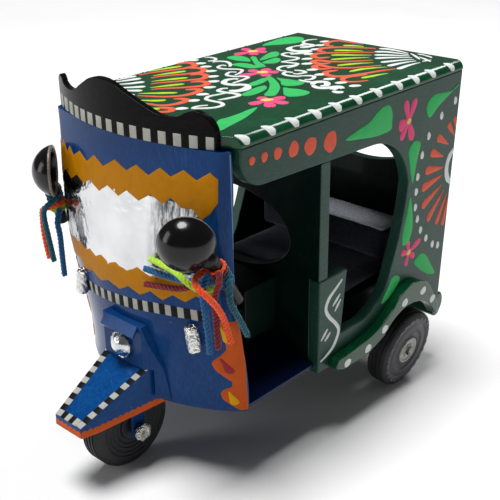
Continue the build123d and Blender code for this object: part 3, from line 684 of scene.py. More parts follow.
def roof_edge(s):
    """u runs along the edge, v down round it from the flat top."""
    def f(y, v):
        r = 3.4
        if v < 0:
            return (s * (42.6 + v), y, ROOF_Z), (0, 0, 1)
        a = v / r
        if a < math.pi / 2:
            return (s * (42.6 + r * math.sin(a)), y, 138.4 + r * math.cos(a)), (s * math.sin(a), 0, math.cos(a))
        return (s * 46.0, y, 138.4 - (v - r * math.pi / 2)), (s, 0, 0)
    return f


SHELL = bvh_of("front_shell")
SHELL_EDGE = [(34.6, -132.8), (56.0, -134.2), (84.0, -138.6), (110.0, -139.1), (137.3, -139.6)]


def _tin_x(x, z):
    hit = SHELL.ray_cast(Vector((x, -260, z)), Vector((0, 1, 0)))
    if hit[0] is None:
        hit = SHELL.find_nearest(Vector((x, -150, z)))
    p, n = hit[0], hit[1]
    if n.y > 0:
        n = -n
    return p, n


def tin(s, z):
    """s is x over the front; past 43 it runs on round the corner to the rear edge."""
    z = min(max(z, 34.9), 137.0)
    if abs(s) <= 43.0:
        p, n = _tin_x(s, z)
        return tuple(p), tuple(n)
    sg = 1 if s > 0 else -1
    p0, _ = _tin_x(sg * 43.0, z)
    ye = float(np.interp(z, [r[0] for r in SHELL_EDGE], [r[1] for r in SHELL_EDGE]))
    c = Vector((0, -112.0, z))
    a0 = math.atan2(abs(p0.x), -(p0.y - c.y))
    a1 = math.atan2(44.0, -(ye - c.y))
    run = math.hypot(44.0 - abs(p0.x), ye - p0.y)
    a = a0 + (a1 - a0) * min(1.0, (abs(s) - 43.0) / run)
    d = Vector((sg * math.sin(a), -math.cos(a), 0))
    hit = SHELL.ray_cast(c + d * 120, -d)
    if hit[0] is None:
        hit = SHELL.find_nearest(c + d * 50)
    p, n = hit[0], hit[1]
    if n.dot(d) < 0:
        n = -n
    return tuple(p), tuple(n)


def tin_run(z):
    p0, _ = _tin_x(43.0, z)
    ye = float(np.interp(z, [r[0] for r in SHELL_EDGE], [r[1] for r in SHELL_EDGE]))
    return 43.0 + math.hypot(44.0 - p0.x, ye - p0.y) - 0.25


def crest(x, z):
    f = math.sqrt(96.0 ** 2 - x * x)
    return (x, -151.0 + 96.0 - f, z), (x / 96.0, -f / 96.0, 0)


MG_SLOPE = (50.7 - 35.2) / (183.4 - 149.0)


def guard_top(x, y):
    return (x, y, 35.2 + MG_SLOPE * (y + 183.4)), (0, -math.sin(math.atan(MG_SLOPE)), math.cos(math.atan(MG_SLOPE)))


MG_OUT = (14.3 - 7.5) / 43.4


def guard_side(s):
    def f(y, z):
        return (s * (7.5 + MG_OUT * (y + 183.4)), y, z), (s / math.hypot(1, MG_OUT), -MG_OUT / math.hypot(1, MG_OUT), 0)
    return f


def guard_front(x, z):
    return (x, -183.4, z), (0, -1, 0)


# ------------------------------------------------------------------ roof ornament
ROOF_LOOPS = [
    [(-103.2, -41.0), (-97.7, -40.2), (-91.9, -38.0), (-86.1, -35.6), (-81.2, -34.4), (-77.6, -34.8), (-75.4, -38.1), (-76.0, -41.2), (-78.3, -42.4), (-80.8, -42.4)],
    [(-103.3, -33.7), (-98.8, -32.7), (-93.6, -29.9), (-88.5, -26.9), (-84.4, -25.0), (-80.7, -26.1), (-79.3, -29.1), (-80.1, -31.7), (-82.5, -33.1)],
    [(-109.5, -26.9), (-105.7, -25.3), (-100.8, -22.4), (-95.7, -19.6), (-91.3, -17.2), (-87.3, -18.4), (-85.8, -21.1), (-86.4, -23.7), (-90.2, -24.8)],
    [(-115.1, -20.6), (-111.7, -18.8), (-107.5, -15.3), (-103.2, -12.0), (-98.7, -9.5), (-94.9, -10.3), (-93.8, -13.2), (-95.0, -15.5), (-98.1, -16.8)],
    [(-124.0, -18.1), (-121.7, -13.9), (-118.7, -9.4), (-114.7, -5.9), (-109.5, -4.4), (-104.3, -5.2), (-103.3, -7.2), (-104.8, -8.8), (-106.9, -10.3)],
    [(-131.0, -11.5), (-128.9, -6.0), (-128.2, -2.9), (-125.7, -0.1), (-121.9, 1.2), (-116.7, 0.7), (-116.5, -2.1), (-118.6, -4.5)],
    [(-136.6, -7.0), (-134.6, -1.0), (-133.2, 4.2), (-130.3, 6.0), (-127.8, 4.4), (-128.8, 1.6), (-130.8, -0.9)],
    [(-1.6, -4.0), (-2.1, -10.2), (-2.7, -16.5), (-6.1, -19.0), (-10.7, -18.2), (-13.6, -15.2), (-12.9, -12.1)],
    [(-5.3, 5.2), (-8.3, -1.2), (-12.3, -8.1), (-17.3, -12.5), (-21.2, -13.6), (-24.5, -10.8), (-24.1, -7.8)],
    [(-12.1, 9.1), (-15.5, 4.1), (-21.5, -2.1), (-26.9, -7.7), (-31.1, -8.8), (-34.3, -6.2), (-34.5, -2.9), (-30.7, -0.5)],
    [(-23.9, 16.7), (-28.3, 13.5), (-34.0, 8.4), (-37.2, 3.6), (-38.4, -0.6), (-41.2, -1.2), (-42.8, 1.1), (-41.8, 4.5), (-38.6, 6.0)],
    [(-29.3, 24.8), (-35.4, 21.2), (-41.0, 17.0), (-44.4, 11.0), (-44.6, 5.8), (-46.4, 4.2), (-48.8, 5.8), (-49.5, 9.1), (-45.9, 12.4)],
    [(-30.5, 32.7), (-37.1, 29.8), (-45.5, 27.1), (-52.3, 24.3), (-55.5, 20.3), (-54.6, 15.9), (-51.4, 14.1), (-46.6, 16.0)],
    [(-52.3, 34.9), (-56.8, 32.5), (-58.9, 29.3), (-57.2, 26.3), (-53.8, 25.2), (-49.3, 26.6), (-45.0, 29.2)],
]
ROOF_LIMES = [
    [(-81.4, -38.6), (-85.0, -39.6), (-89.9, -41.0), (-96.4, -42.4)], [(-86.3, -31.1), (-89.4, -32.2), (-93.8, -33.9), (-100.2, -35.8)], [(-93.4, -22.8), (-96.7, -24.7), (-100.5, -26.7), (-106.7, -29.6)],
    [(-101.0, -16.9), (-104.3, -18.7), (-108.1, -20.6), (-113.4, -23.0)], [(-111.8, -9.5), (-114.2, -12.2), (-117.0, -15.1), (-121.8, -20.2)], [(-121.4, -5.5), (-123.4, -7.0), (-125.0, -8.7), (-128.1, -13.2)],
    [(-131.0, 1.5), (-132.4, -1.5), (-134.0, -6.0), (-135.0, -9.5)],
    [(-9.3, -9.8), (-7.0, -6.5), (-5.8, -3.0), (-5.6, -1.0)], [(-19.5, -7.0), (-17.0, -3.9), (-14.4, 0.1), (-12.6, 3.6)], [(-27.5, -2.4), (-24.0, 1.4), (-21.0, 5.6), (-16.6, 11.2)], [(-33.9, 2.5), (-29.8, 5.3), (-25.0, 9.0), (-20.6, 13.0)],
    [(-40.5, 10.8), (-36.6, 13.0), (-32.4, 15.5), (-27.3, 19.6)], [(-45.8, 21.1), (-40.1, 22.1), (-34.5, 25.1), (-29.9, 28.2)], [(-51.1, 30.7), (-46.8, 31.9), (-42.4, 33.0), (-38.3, 34.5)],
]
ROOF_PETALS = [
    [(-114.1, -42.0), (-111.4, -41.8), (-107.7, -41.6), (-104.6, -40.9)], [(-117.2, -40.6), (-113.4, -39.0), (-109.5, -37.8), (-105.9, -36.5)], [(-119.2, -37.2), (-114.0, -33.8), (-111.4, -32.7), (-108.6, -31.4)],
    [(-122.3, -33.4), (-118.1, -29.6), (-115.1, -27.2), (-113.1, -25.9)], [(-124.6, -31.4), (-121.4, -26.4), (-119.5, -24.0), (-117.9, -22.3)], [(-128.6, -31.6), (-127.2, -27.0), (-125.4, -22.6), (-124.2, -19.6)], [(-133.0, -31.5), (-132.6, -26.0), (-131.6, -21.0), (-131.0, -17.5)],
    [(-4.4, 21.5), (-3.2, 16.3), (-2.9, 9.8), (-4.5, 6.3)], [(-6.6, 23.3), (-6.6, 18.7), (-7.7, 12.5), (-10.7, 8.3)], [(-8.2, 24.8), (-10.2, 20.2), (-12.6, 15.8), (-15.8, 11.7)], [(-10.1, 27.1), (-12.8, 22.9), (-16.5, 18.9), (-20.7, 15.5)],
    [(-12.3, 29.5), (-15.5, 26.7), (-20.1, 24.0), (-25.0, 21.5)], [(-13.9, 31.6), (-17.6, 29.9), (-22.8, 28.4), (-28.6, 27.5)], [(-15.2, 34.4), (-19.0, 33.7), (-23.7, 33.3), (-30.3, 33.5)],
]
ROOF_SMALL = [[(-3.9, 22.4), (-6.5, 26.3), (-10.6, 31.4)], [(-7.0, 28.6), (-9.0, 33.3), (-11.2, 37.1)], [(-3.0, 28.2), (-3.9, 32.0), (-5.2, 33.8)], [(-13.1, 34.0), (-8.5, 35.4)], [(-2.8, 25.2), (-2.6, 28.5)],
              [(-126.0, -35.0), (-130.0, -38.0), (-133.4, -39.6)], [(-121.6, -41.8), (-126.4, -41.6)]]
ROOF_SQUIGGLES = [
    (1.7, [(-116.7, 11.3), (-119.0, 9.6), (-121.5, 9.3), (-122.8, 9.9), (-121.5, 11.5), (-119.3, 13.8), (-116.4, 15.4), (-113.0, 15.1), (-111.3, 12.7), (-111.5, 9.6), (-111.6, 6.2), (-110.5, 4.3), (-107.9, 3.2), (-104.5, 3.9), (-100.2, 5.0)]),
    (1.9, [(-109.4, 9.3), (-105.4, 10.5), (-101.4, 11.1), (-99.2, 10.4), (-99.0, 7.7), (-99.9, 4.6), (-100.2, 1.2), (-99.3, -0.2), (-96.8, -0.6), (-95.1, 0.7)]),
    (2.6, [(-97.5, 3.6), (-95.9, 6.0), (-91.3, 5.8), (-87.4, 4.2), (-87.7, 1.3), (-90.1, -1.2), (-90.8, -4.0), (-89.7, -6.6), (-86.3, -8.3), (-83.1, -7.1), (-82.5, -5.3)]),
    (1.6, [(-88.9, -2.9), (-84.8, -3.2), (-81.1, -3.6), (-77.9, -4.5), (-78.0, -7.0), (-80.3, -9.7), (-80.9, -12.8), (-79.5, -14.7), (-76.4, -15.8), (-74.7, -13.7)]),
    (1.5, [(-78.8, -11.1), (-75.7, -11.5), (-71.1, -13.9), (-70.9, -16.6), (-73.2, -20.1), (-74.4, -23.3), (-73.0, -25.8), (-69.9, -26.3), (-69.6, -24.1)]),
    (1.7, [(-70.0, -22.1), (-67.0, -24.4), (-64.5, -28.3), (-65.1, -31.6), (-66.9, -33.1), (-68.9, -33.1)]),
    (1.5, [(-68.7, -36.0), (-65.7, -34.9), (-63.1, -36.8), (-62.8, -39.7), (-64.3, -42.2)]),
    (3.6, [(-97.4, 3.7), (-95.4, 6.1), (-91.4, 6.5), (-87.7, 4.4)]), (2.6, [(-90.2, -5.8), (-90.7, -3.5), (-89.7, 0.3)]),
    (1.5, [(-6.4, -26.8), (-9.8, -28.9), (-14.3, -28.5), (-16.9, -25.1), (-16.5, -20.9), (-19.9, -20.1), (-21.9, -24.8), (-26.1, -25.8)]),
    (3.2, [(-26.1, -25.8), (-29.8, -24.0), (-30.7, -18.9), (-27.0, -15.0), (-31.2, -14.7), (-37.0, -17.3)]),
    (1.6, [(-33.9, -18.1), (-36.6, -20.2), (-39.7, -19.4), (-40.8, -15.4), (-40.0, -10.5), (-43.1, -9.1), (-47.0, -10.2), (-50.2, -11.1)]),
    (1.6, [(-50.2, -11.1), (-49.1, -7.8), (-48.3, -3.6), (-51.8, -3.1), (-55.8, -5.7), (-59.8, -4.6), (-61.5, -1.4), (-60.7, 0.8)]), (1.6, [(-56.7, -2.5), (-52.8, -2.2), (-49.5, -2.6)]),
    (1.6, [(-60.9, 4.5), (-61.8, 1.8), (-64.6, 2.4), (-65.9, 5.8), (-64.5, 9.8), (-62.6, 10.5)]), (1.6, [(-57.6, 2.3), (-56.5, 5.5), (-57.6, 8.1), (-61.5, 7.3), (-62.0, 5.5)]),
    (1.7, [(-62.8, 10.7), (-60.6, 12.9), (-60.9, 15.3), (-64.7, 16.7), (-66.9, 15.1)]), (1.6, [(-68.5, 13.7), (-68.4, 18.1), (-67.1, 21.4), (-64.1, 23.4)]),
    (2.6, [(-71.2, 22.4), (-67.2, 20.6), (-64.8, 22.2), (-65.0, 24.8), (-68.2, 26.9), (-70.6, 25.8)]), (2.8, [(-71.6, 23.0), (-72.9, 26.7), (-71.3, 29.2), (-68.9, 30.2), (-66.6, 32.2), (-68.4, 35.0)]),
    (3.0, [(-72.1, 32.7), (-68.7, 31.9), (-66.1, 33.3)]), (2.6, [(-73.2, 34.0), (-73.4, 36.5), (-71.6, 37.4)]),
    (2.4, [(-20.4, -25.4), (-17.5, -24.4), (-17.6, -20.2), (-22.2, -20.5), (-24.3, -22.2)]),
]
ROOF_DOTS = [(-71.1, -42.2), (-73.3, -35.8), (-75.8, -30.0), (-79.9, -23.2), (-85.7, -16.4), (-91.1, -10.8), (-98.4, -5.8), (-107.2, -0.7), (-115.4, 2.7), (-125.5, 6.8),
             (-7.8, -21.1), (-15.2, -18.2), (-22.8, -14.6), (-31.6, -11.2), (-39.0, -6.2), (-45.8, -0.8), (-52.3, 7.4), (-56.6, 14.7), (-59.8, 21.9), (-61.5, 28.8), (-61.8, 35.7)]
ROOF_LEAVES = [
    [(-131.6, 29.6), (-127.3, 26.9), (-123.5, 27.2), (-117.6, 27.1), (-112.1, 26.4), (-107.4, 26.7), (-112.4, 29.3), (-118.4, 31.6), (-123.9, 33.1), (-129.5, 34.3), (-135.2, 35.6), (-137.2, 34.0)],
    [(-31.8, -38.0), (-23.9, -40.2), (-15.3, -40.9), (-8.8, -38.4), (-8.1, -33.6), (-13.7, -29.6), (-19.6, -29.8), (-24.8, -32.5), (-28.6, -35.4)],
    [(-59.0, -34.2), (-54.2, -34.1), (-52.8, -30.8), (-54.1, -25.8), (-57.4, -21.9), (-59.0, -23.9), (-60.1, -28.5)],
    [(-66.6, -24.0), (-63.0, -23.3), (-61.3, -19.9), (-61.6, -14.6), (-60.4, -11.4), (-63.8, -11.6), (-66.4, -14.0), (-67.0, -18.4)],
    [(-51.7, -27.0), (-50.2, -25.2), (-55.2, -19.1), (-59.6, -11.3), (-62.2, -12.0), (-61.1, -15.6), (-56.8, -21.1)],
    [(-53.5, -20.3), (-47.2, -23.7), (-40.2, -26.0), (-37.2, -24.7), (-38.9, -21.7), (-43.3, -19.2), (-47.7, -19.6), (-51.5, -19.4)],
    [(-56.5, -16.1), (-51.3, -17.5), (-46.2, -17.6), (-46.7, -14.4), (-50.7, -11.9), (-54.6, -12.2)],
    [(-84.7, 2.3), (-80.4, 1.7), (-75.8, 1.1), (-73.8, 2.2), (-77.3, 4.7), (-81.8, 5.8), (-85.9, 6.0), (-87.4, 4.8)],
    [(-98.2, 10.7), (-93.5, 9.5), (-87.2, 8.3), (-83.4, 9.2), (-86.0, 12.3), (-91.8, 14.1), (-96.5, 14.4), (-99.1, 12.9)],
    [(-73.5, 1.1), (-71.6, 2.1), (-76.4, 9.6), (-82.5, 16.0), (-91.0, 21.1), (-93.6, 19.6), (-93.2, 17.3), (-86.8, 13.9), (-79.8, 8.3)],
    [(-71.6, 4.9), (-71.0, 7.8), (-70.1, 11.6), (-69.8, 17.5), (-74.6, 18.7), (-78.1, 16.1), (-78.1, 13.0), (-74.5, 9.4)],
    [(-81.1, 16.5), (-80.4, 19.5), (-79.2, 23.0), (-80.0, 28.5), (-85.4, 29.2), (-89.2, 26.5), (-88.5, 23.0), (-84.1, 19.0)],
]
ROOF_FLOWERS = [((-43.3, -33.3), [(-52.8, -35.8), (-41.6, -40.8), (-34.8, -34.0), (-39.8, -28.0), (-47.7, -28.4)]),
                ((-68.5, -5.4), [(-78.5, -8.7), (-68.9, -12.3), (-62.2, -7.9), (-63.6, -0.8), (-71.8, 0.4)]),
                ((-98.1, 23.2), [(-106.6, 22.0), (-96.7, 18.2), (-90.8, 25.5), (-96.5, 32.1), (-104.3, 30.5)])]


def roof_ornament():
    pw = Paintwork()
    f = on_roof
    for p in ROOF_PETALS:
        pw.line("white", f, p, [(0, 0.6), (0.3, 1.3), (0.7, 2.4), (0.92, 2.5), (1, 0.5)], 0.16)
    for p in ROOF_SMALL:
        pw.line("white", f, p if len(p) > 2 else [p[0], tuple((a + b) / 2 for a, b in zip(*p)), p[1]], [(0, 0.6), (0.5, 1.4), (1, 0.6)], 0.14)
    for p in ROOF_LIMES:
        pw.line("lime", f, p, [(0, 0.5), (0.08, 1.9), (0.35, 2.3), (0.7, 1.3), (1, 0.4)], 0.16)
    for p in ROOF_LOOPS:
        pw.line("coral", f, p, [(0, 0.8), (0.2, 1.5), (0.45, 1.9), (0.62, 2.6), (0.8, 3.0), (0.93, 2.0), (1, 0.7)], 0.2)
    for p in ROOF_DOTS:
        pw.spot("white", f, p, 2.5, 1.5, 35, 0.2)
    for w, p in ROOF_SQUIGGLES:
        pw.line("white", f, p, [(0, 0.5 * w), (0.12, 0.85 * w), (0.45, w), (0.8, 0.95 * w), (1, 0.55 * w)], 0.2)
    for p in ROOF_LEAVES:
        pw.area("leaf", f, p, 0.2)
    for (y, x), tips in ROOF_FLOWERS:
        for ty, tx in tips:
            pw.line("pink", f, [(y + 0.1 * (ty - y), x + 0.1 * (tx - x)), ((y + ty) / 2, (x + tx) / 2), (ty, tx)], [(0, 2.0), (0.3, 3.0), (0.62, 4.6), (0.85, 3.9), (1, 0.8)], 0.2)
        pw.spot("pink", f, (y, x), 2.8, 2.6, 0, 0.2)
        pw.spot("yellow", f, (y, x), 2.6, 1.8, 40, 0.34)
    # slanted dots round the long rounded edges
    for s in (1, -1):
        f = roof_edge(s)
        for i, y in enumerate((-134.2, -121.5, -108.9, -97, -84.8, -73, -59.9, -46.3, -34.8, -22.6, -9)):
            j = 0.3 * math.sin(i * 2.7)
            pw.line("white", f, [(y - 2.4 + j, 0.3), (y - 1.2 + j, 1.5), (y + 0.3 + j, 3.2), (y + 1.3 + j, 4.9)], [(0, 0.9), (0.25, 2.4), (0.6, 3.6), (0.85, 3.3), (1, 0.7)], 0.22, step=0.35)
    pw.build("roof_paint", M)


# ------------------------------------------------------------------ side ornament
def flower(pw, surf, c, petals, centre=(1.7, 1.3, 20)):
    for deg, L, w in petals:
        a = math.radians(deg)
        tip = (c[0] + L * math.cos(a), c[1] + L * math.sin(a))
        pw.line("pink", surf, [(c[0] + 0.6 * math.cos(a), c[1] + 0.6 * math.sin(a)), ((c[0] + tip[0]) / 2, (c[1] + tip[1]) / 2), tip],
                [(0, w * 0.5), (0.3, w * 0.7), (0.65, w), (0.88, w * 0.85), (1, 0.6)], 0.2, step=0.35)
    pw.spot("pink", surf, c, 2.0, 1.9, 0, 0.2)
    pw.spot("yellow", surf, c, centre[0], centre[1], centre[2], 0.34)


def side_ornament():
    for s, tag in ((1, "left"), (-1, "right")):
        f = side_of(s)
        pw = Paintwork()
        for y, z, rx, ry in ((-131.6, 132.6, 1.5, 1.5), (-125.4, 132.3, 1.6, 1.8), (-118.6, 131.9, 2.1, 2.2), (-110.2, 131.2, 2.7, 2.9), (-101, 130.0, 3.4, 3.3), (-89.6, 128.7, 3.7, 4.0)):
            pw.spot("coral", f, (y, z), rx, ry, -6, 0.22)
        pw.area("leaf", f, [(-80.5, 127), (-73, 129), (-66, 130.4), (-61, 133), (-57, 134.4), (-53, 134), (-51, 131), (-50.8, 127), (-51.6, 124), (-60, 123.7), (-70, 125)], 0.2)
        flower(pw, f, (-39, 124.6), ((108, 9.6, 3.6), (62, 9.6, 3.8), (188, 7.2, 5.0), (232, 8.6, 3.6), (292, 9.2, 4.4)))
        pw.area("leaf", f, [(-2.6, 132.2), (-8, 130.6), (-14, 131), (-20, 131.5), (-24, 130.5), (-26.5, 127.5), (-25, 123.5), (-22.5, 122.7), (-18, 125.6), (-10, 129)], 0.2)
        for y, z in ((-4.2, 125.5), (-14.3, 121.2), (-23.2, 114.6), (-27.3, 107.3), (-29.6, 98.5), (-30, 92), (-29.9, 85), (-27.7, 79), (-24.6, 73), (-19.7, 67.5), (-14, 62.7), (-9.4, 60.7)):
            pw.spot("white", f, (y, z), 1.25, 1.75, 4, 0.22)
        # half ring and its rays at the rear edge
        ring = [(1.5 + 8.5 * math.cos(math.radians(a)), 96 + 8.5 * math.sin(math.radians(a))) for a in range(112, 256, 12)]
        ring = [(min(p[0], -0.05 * (141.8 - p[1]) - 0.8), p[1]) for p in ring]
        pw.line("white", f, ring, [(0, 1.6), (0.2, 3.0), (0.8, 3.0), (1, 1.6)], 0.22)
        for a, b, w in (((-2, 113), (-4, 118.5), 2.2), ((-3, 110), (-8.5, 116.5), 2.8), ((-7, 107), (-16.5, 112.5), 3.5), ((-10.5, 102.5), (-21, 107), 3.8), ((-10, 97.5), (-24, 99.5), 3.9),
                        ((-10.5, 94.0), (-26, 92.0), 4.0), ((-10.5, 89.6), (-25, 83.4), 3.8), ((-8, 86.6), (-20, 75.6), 3.6), ((-5.5, 84), (-12.5, 71.6), 3.3), ((-3.5, 83), (-7, 69.3), 3.0)):
            pw.drop("coral", f, a, b, w, 0.2)
        pw.area("leaf", f, [(-37.5, 112), (-34, 115), (-29.5, 113.5), (-30, 109.5), (-31.4, 105), (-33.3, 97), (-35, 101), (-36.4, 106)], 0.2)
        pw.area("leaf", f, [(-34.3, 91), (-32.6, 86), (-31.6, 81), (-31.3, 76), (-33.5, 70.5), (-37.6, 70), (-38.5, 74), (-37.4, 79), (-36, 84)], 0.2)
        flower(pw, f, (-33, 65.3), ((20, 9.4, 3.2), (-38, 6.0, 3.0), (-105, 6.4, 3.0), (166, 6.0, 3.0), (100, 5.8, 3.0)))
        pw.area("leaf", f, [(-28, 58.5), (-25, 60.8), (-22, 61), (-18.5, 58.8), (-14, 53), (-10.3, 47.3), (-14, 48), (-18, 50), (-23, 53.4)], 0.2)
        # sill leaf, and the curl on the small panel
        pw.area("leaf", f, [(-44.6, 57.2), (-41.6, 57.4), (-38.4, 55), (-41, 51.6), (-46.2, 48.4), (-51.4, 47.6), (-50.2, 50.2), (-47, 53.8)], 0.2)
        pw.line("white", f, [(-79.8, 69.9), (-83.5, 67.4), (-88, 64.3), (-89.7, 60.5), (-87.7, 56.4), (-82.8, 51), (-81.1, 47), (-84.2, 41.5), (-89, 38.9), (-92.6, 37.8)],
                [(0, 0.9), (0.2, 1.9), (0.5, 1.6), (0.8, 1.9), (1, 0.7)], 0.2)
        for a, b in (((-80.9, 63.8), (-85.5, 60.1)), ((-80.4, 61.3), (-84, 57.2)), ((-88.4, 51.1), (-92.5, 47.2)), ((-86.5, 48.9), (-90.1, 46.1))):
            pw.line("white", f, [a, ((a[0] + b[0]) / 2, (a[1] + b[1]) / 2), b], [(0, 0.7), (0.5, 1.5), (1, 0.6)], 0.2, step=0.3)
        g = fender_of(s)
        for y, z in ((-80, 33.4), (-65.9, 34.0), (-54.2, 38.3), (-40, 45.2), (-25.9, 45.6), (-17.6, 38.6)):
            pw.spot("white", g, (y, z), 2.2, 1.75, 10, 0.24)
        pw.build("side_paint_" + tag, M)


def rear_ornament():
    """The same dots, leaves and flowers carried on to the back."""
    pw = Paintwork()
    f = on_rear
    n = 30
    for i in range(n):
        a = 2 * math.pi * (i + 0.5) / n
        pw.spot("white", f, (35.0 * math.cos(a), 105 + 15.4 * math.sin(a)), 1.5, 1.2, math.degrees(a), 0.22)
    for s in (1, -1):
        for k, (a, b, w) in enumerate((((11, 71), (20.5, 77.5), 3.6), ((12, 67), (24, 69), 3.8), ((11, 63), (23, 58.5), 3.8), ((8.5, 60), (16.5, 51), 3.6))):
            pw.drop("coral", f, (s * a[0], a[1]), (s * b[0], b[1]), w, 0.2)
        pw.area("leaf", f, [(s * 27, 62.5), (s * 31, 66.5), (s * 35.5, 73), (s * 37, 79.5), (s * 33, 77.5), (s * 29.5, 72.5), (s * 27.4, 67)], 0.2)
        pw.area("leaf", f, [(s * 26, 56.5), (s * 30.5, 56), (s * 35, 52.5), (s * 38, 46.5), (s * 33.5, 46.4), (s * 28.6, 49.6), (s * 26.2, 53)], 0.2)
        flower(pw, f, (s * 33, 125.6), ((90, 6.6, 3.6), (18, 6.6, 3.6), (162, 6.6, 3.6), (234, 6.4, 3.6), (306, 6.4, 3.6)))
    flower(pw, f, (0, 65.5), ((90, 8.4, 4.4), (18, 8.4, 4.4), (162, 8.4, 4.4), (234, 8.2, 4.4), (306, 8.2, 4.4)), (2.2, 2.0, 0))
    for x in (-24, -12, 0, 12, 24):
        pw.spot("white", f, (x, 127.5 if x else 129), 1.5, 1.3, 0, 0.22)
    pw.build("rear_paint", M)


# ------------------------------------------------------------------ tin ornament
def tin_ornament():
    pw = Paintwork()
    top = [(-47, 122), (-43, 125.6), (-40.4, 122.6), (-38, 126.2), (-35.4, 121.8), (-33, 124.9), (-30.1, 122), (-25.2, 125), (-20.2, 122.3), (-15.3, 125.8), (-9.6, 123.1), (-3, 127), (3.3, 124.5), (8.2, 127.6),
           (13.9, 125), (19.2, 128.7), (23.7, 126.4), (29, 129.6), (34, 126.9), (38.9, 130.3), (41.7, 128.4)]
    bottom = [(-47, 112.5), (-44, 114.2), (-41, 111.8), (-37, 114.6), (-32.4, 112.2), (-27.5, 115.1), (-22.3, 113.1), (-18.5, 115.7), (-11.9, 113.1), (-7.1, 116.5), (-0.7, 114.1), (3.5, 117.2), (9.8, 114.7), (14.9, 118.4), (20.5, 116.1),
              (24, 118.9), (28.6, 116.0), (32.6, 116.6), (36, 113.2), (39.4, 116.2), (41.7, 120.2)]
    pw.strip("ochre", tin, -46.5, 41.7, top, bottom, 0.2)
    top = [(-47, 86), (-42, 88.5), (-38, 86.5), (-34, 88.3), (-31.4, 86.6), (-29, 88.2), (-24.5, 86.2), (-20, 88.2), (-16, 86.6), (-12.1, 88.6), (-7.5, 86.8), (-3.1, 88.4), (3.2, 86.9), (8.6, 89.9), (14.5, 87.9), (17.3, 88.9), (24, 88.2),
           (30, 90), (36.5, 88.5), (41, 90.5)]
    bottom = [(-47, 79), (-40, 77), (-33, 79), (-27, 76.5), (-20, 78.6), (-14, 76.8), (-8.5, 79), (-1.9, 77.5), (3.2, 80.4), (9.1, 78.7), (14.1, 81.6), (19.3, 79.3), (23.8, 82.5), (28.5, 80.7), (32.8, 84), (36.5, 82.9), (41, 85)]
    pw.strip("ochre", tin, -46.5, 40.6, top, bottom, 0.2)
    # chequered strip
    tx, tz = zip(*((-41, 68.9), (-26, 71.6), (-11.3, 73.7), (-3.7, 74.8), (3, 75.6), (9.7, 76.5), (16.8, 77.5), (23.1, 77.9), (29.7, 78.2), (35.1, 78)))
    n = 30
    for i in range(n):
        a = -41 + (76.1 / n) * i
        b = -41 + (76.1 / n) * (i + 1)
        za, zb = np.interp(a, tx, tz), np.interp(b, tx, tz)
        g = 0.1 if i % 2 else 0.0
        pw.strip("check_light" if i % 2 == 0 else "check_dark", tin, a - g, b + g, [(a - 1, za), (b + 1, zb)], [(a - 1, za - 4.4), (b + 1, zb - 4.4)], 0.12, du=0.6, rows=3, edge=0.2)
    # scalloped strip at the rear edge, and its drops
    left = [(75.2, 39.6), (74.5, 39.3), (72.4, 39.5), (65.5, 40.4), (62.3, 40.3), (59.5, 38.3), (56.7, 35.4), (55.3, 34.6), (52.4, 35.6), (49.8, 38.1), (47.6, 40.5), (45.3, 40.2), (43.9, 37.6), (42.2, 36.5), (39.6, 37.0), (37.5, 39.4), (35.8, 41.4), (35.2, 42.4)]
    zz = np.array([p[0] for p in left])[::-1]
    xx = np.array([p[1] for p in left])[::-1]
    for s in (1, -1):
        def flat(v, z, s=s):
            return tin(s * v, z)
        verts, faces = [], []
        zs = np.linspace(35.3, 75.0, 90)
        cols = 12
        for z in zs:
            x0, x1 = float(np.interp(z, zz, xx)), tin_run(z)
            for k in range(cols + 1):
                t = k / cols
                p, nn = flat(x0 + (x1 - x0) * t, z)
                hh = (-0.03, 0.12, 0.17)[min(k, 2)] if k < 3 else 0.18
                verts.append(np.array(p) + np.array(nn) * (hh + 0.015))
        m = cols + 1
        for i in range(len(zs) - 1):
            for k in range(cols):
                faces.append((i * m + k, i * m + k + 1, (i + 1) * m + k + 1, (i + 1) * m + k))
        pw.add("rust", verts, faces)

        def over(v, z, s=s):
            p, nn = tin(s * v, z)
            return np.array(p) + np.array(nn) * 0.17, nn
        pw.drop("drop_yellow", over, (39.9, 72.4), (41.6, 65.4), 2.9, 0.16, 0.2)
        pw.drop("drop_maroon", over, (38.0, 58.0), (40.9, 51.4), 3.3, 0.16, 0.25)
        pw.drop("drop_yellow", over, (39.2, 43.2), (41.2, 37.4), 3.0, 0.16, 0.2)
    # squares along the foot of the crest
    for a, b in ((36.8, 39.4), (31.2, 34.1), (25.5, 28.4), (19.7, 22.7), (13.5, 16.7), (7.5, 10.6), (1.4, 4.6), (-4.6, -1.5), (-10.6, -7.3), (-16.2, -12.8), (-21.4, -18.0),
                 (-26.3, -23.0), (-31.3, -28.0), (-37.0, -33.2), (-41.6, -38.6)):
        g = max(0.0, -a - 20) * 0.04
        pw.strip("check_light", crest, a, b, [(a, 141.9 + g), (b, 141.9 + g)], [(a, 137.55), (b, 137.55)], 0.12, du=0.5, rows=3, edge=0.2)
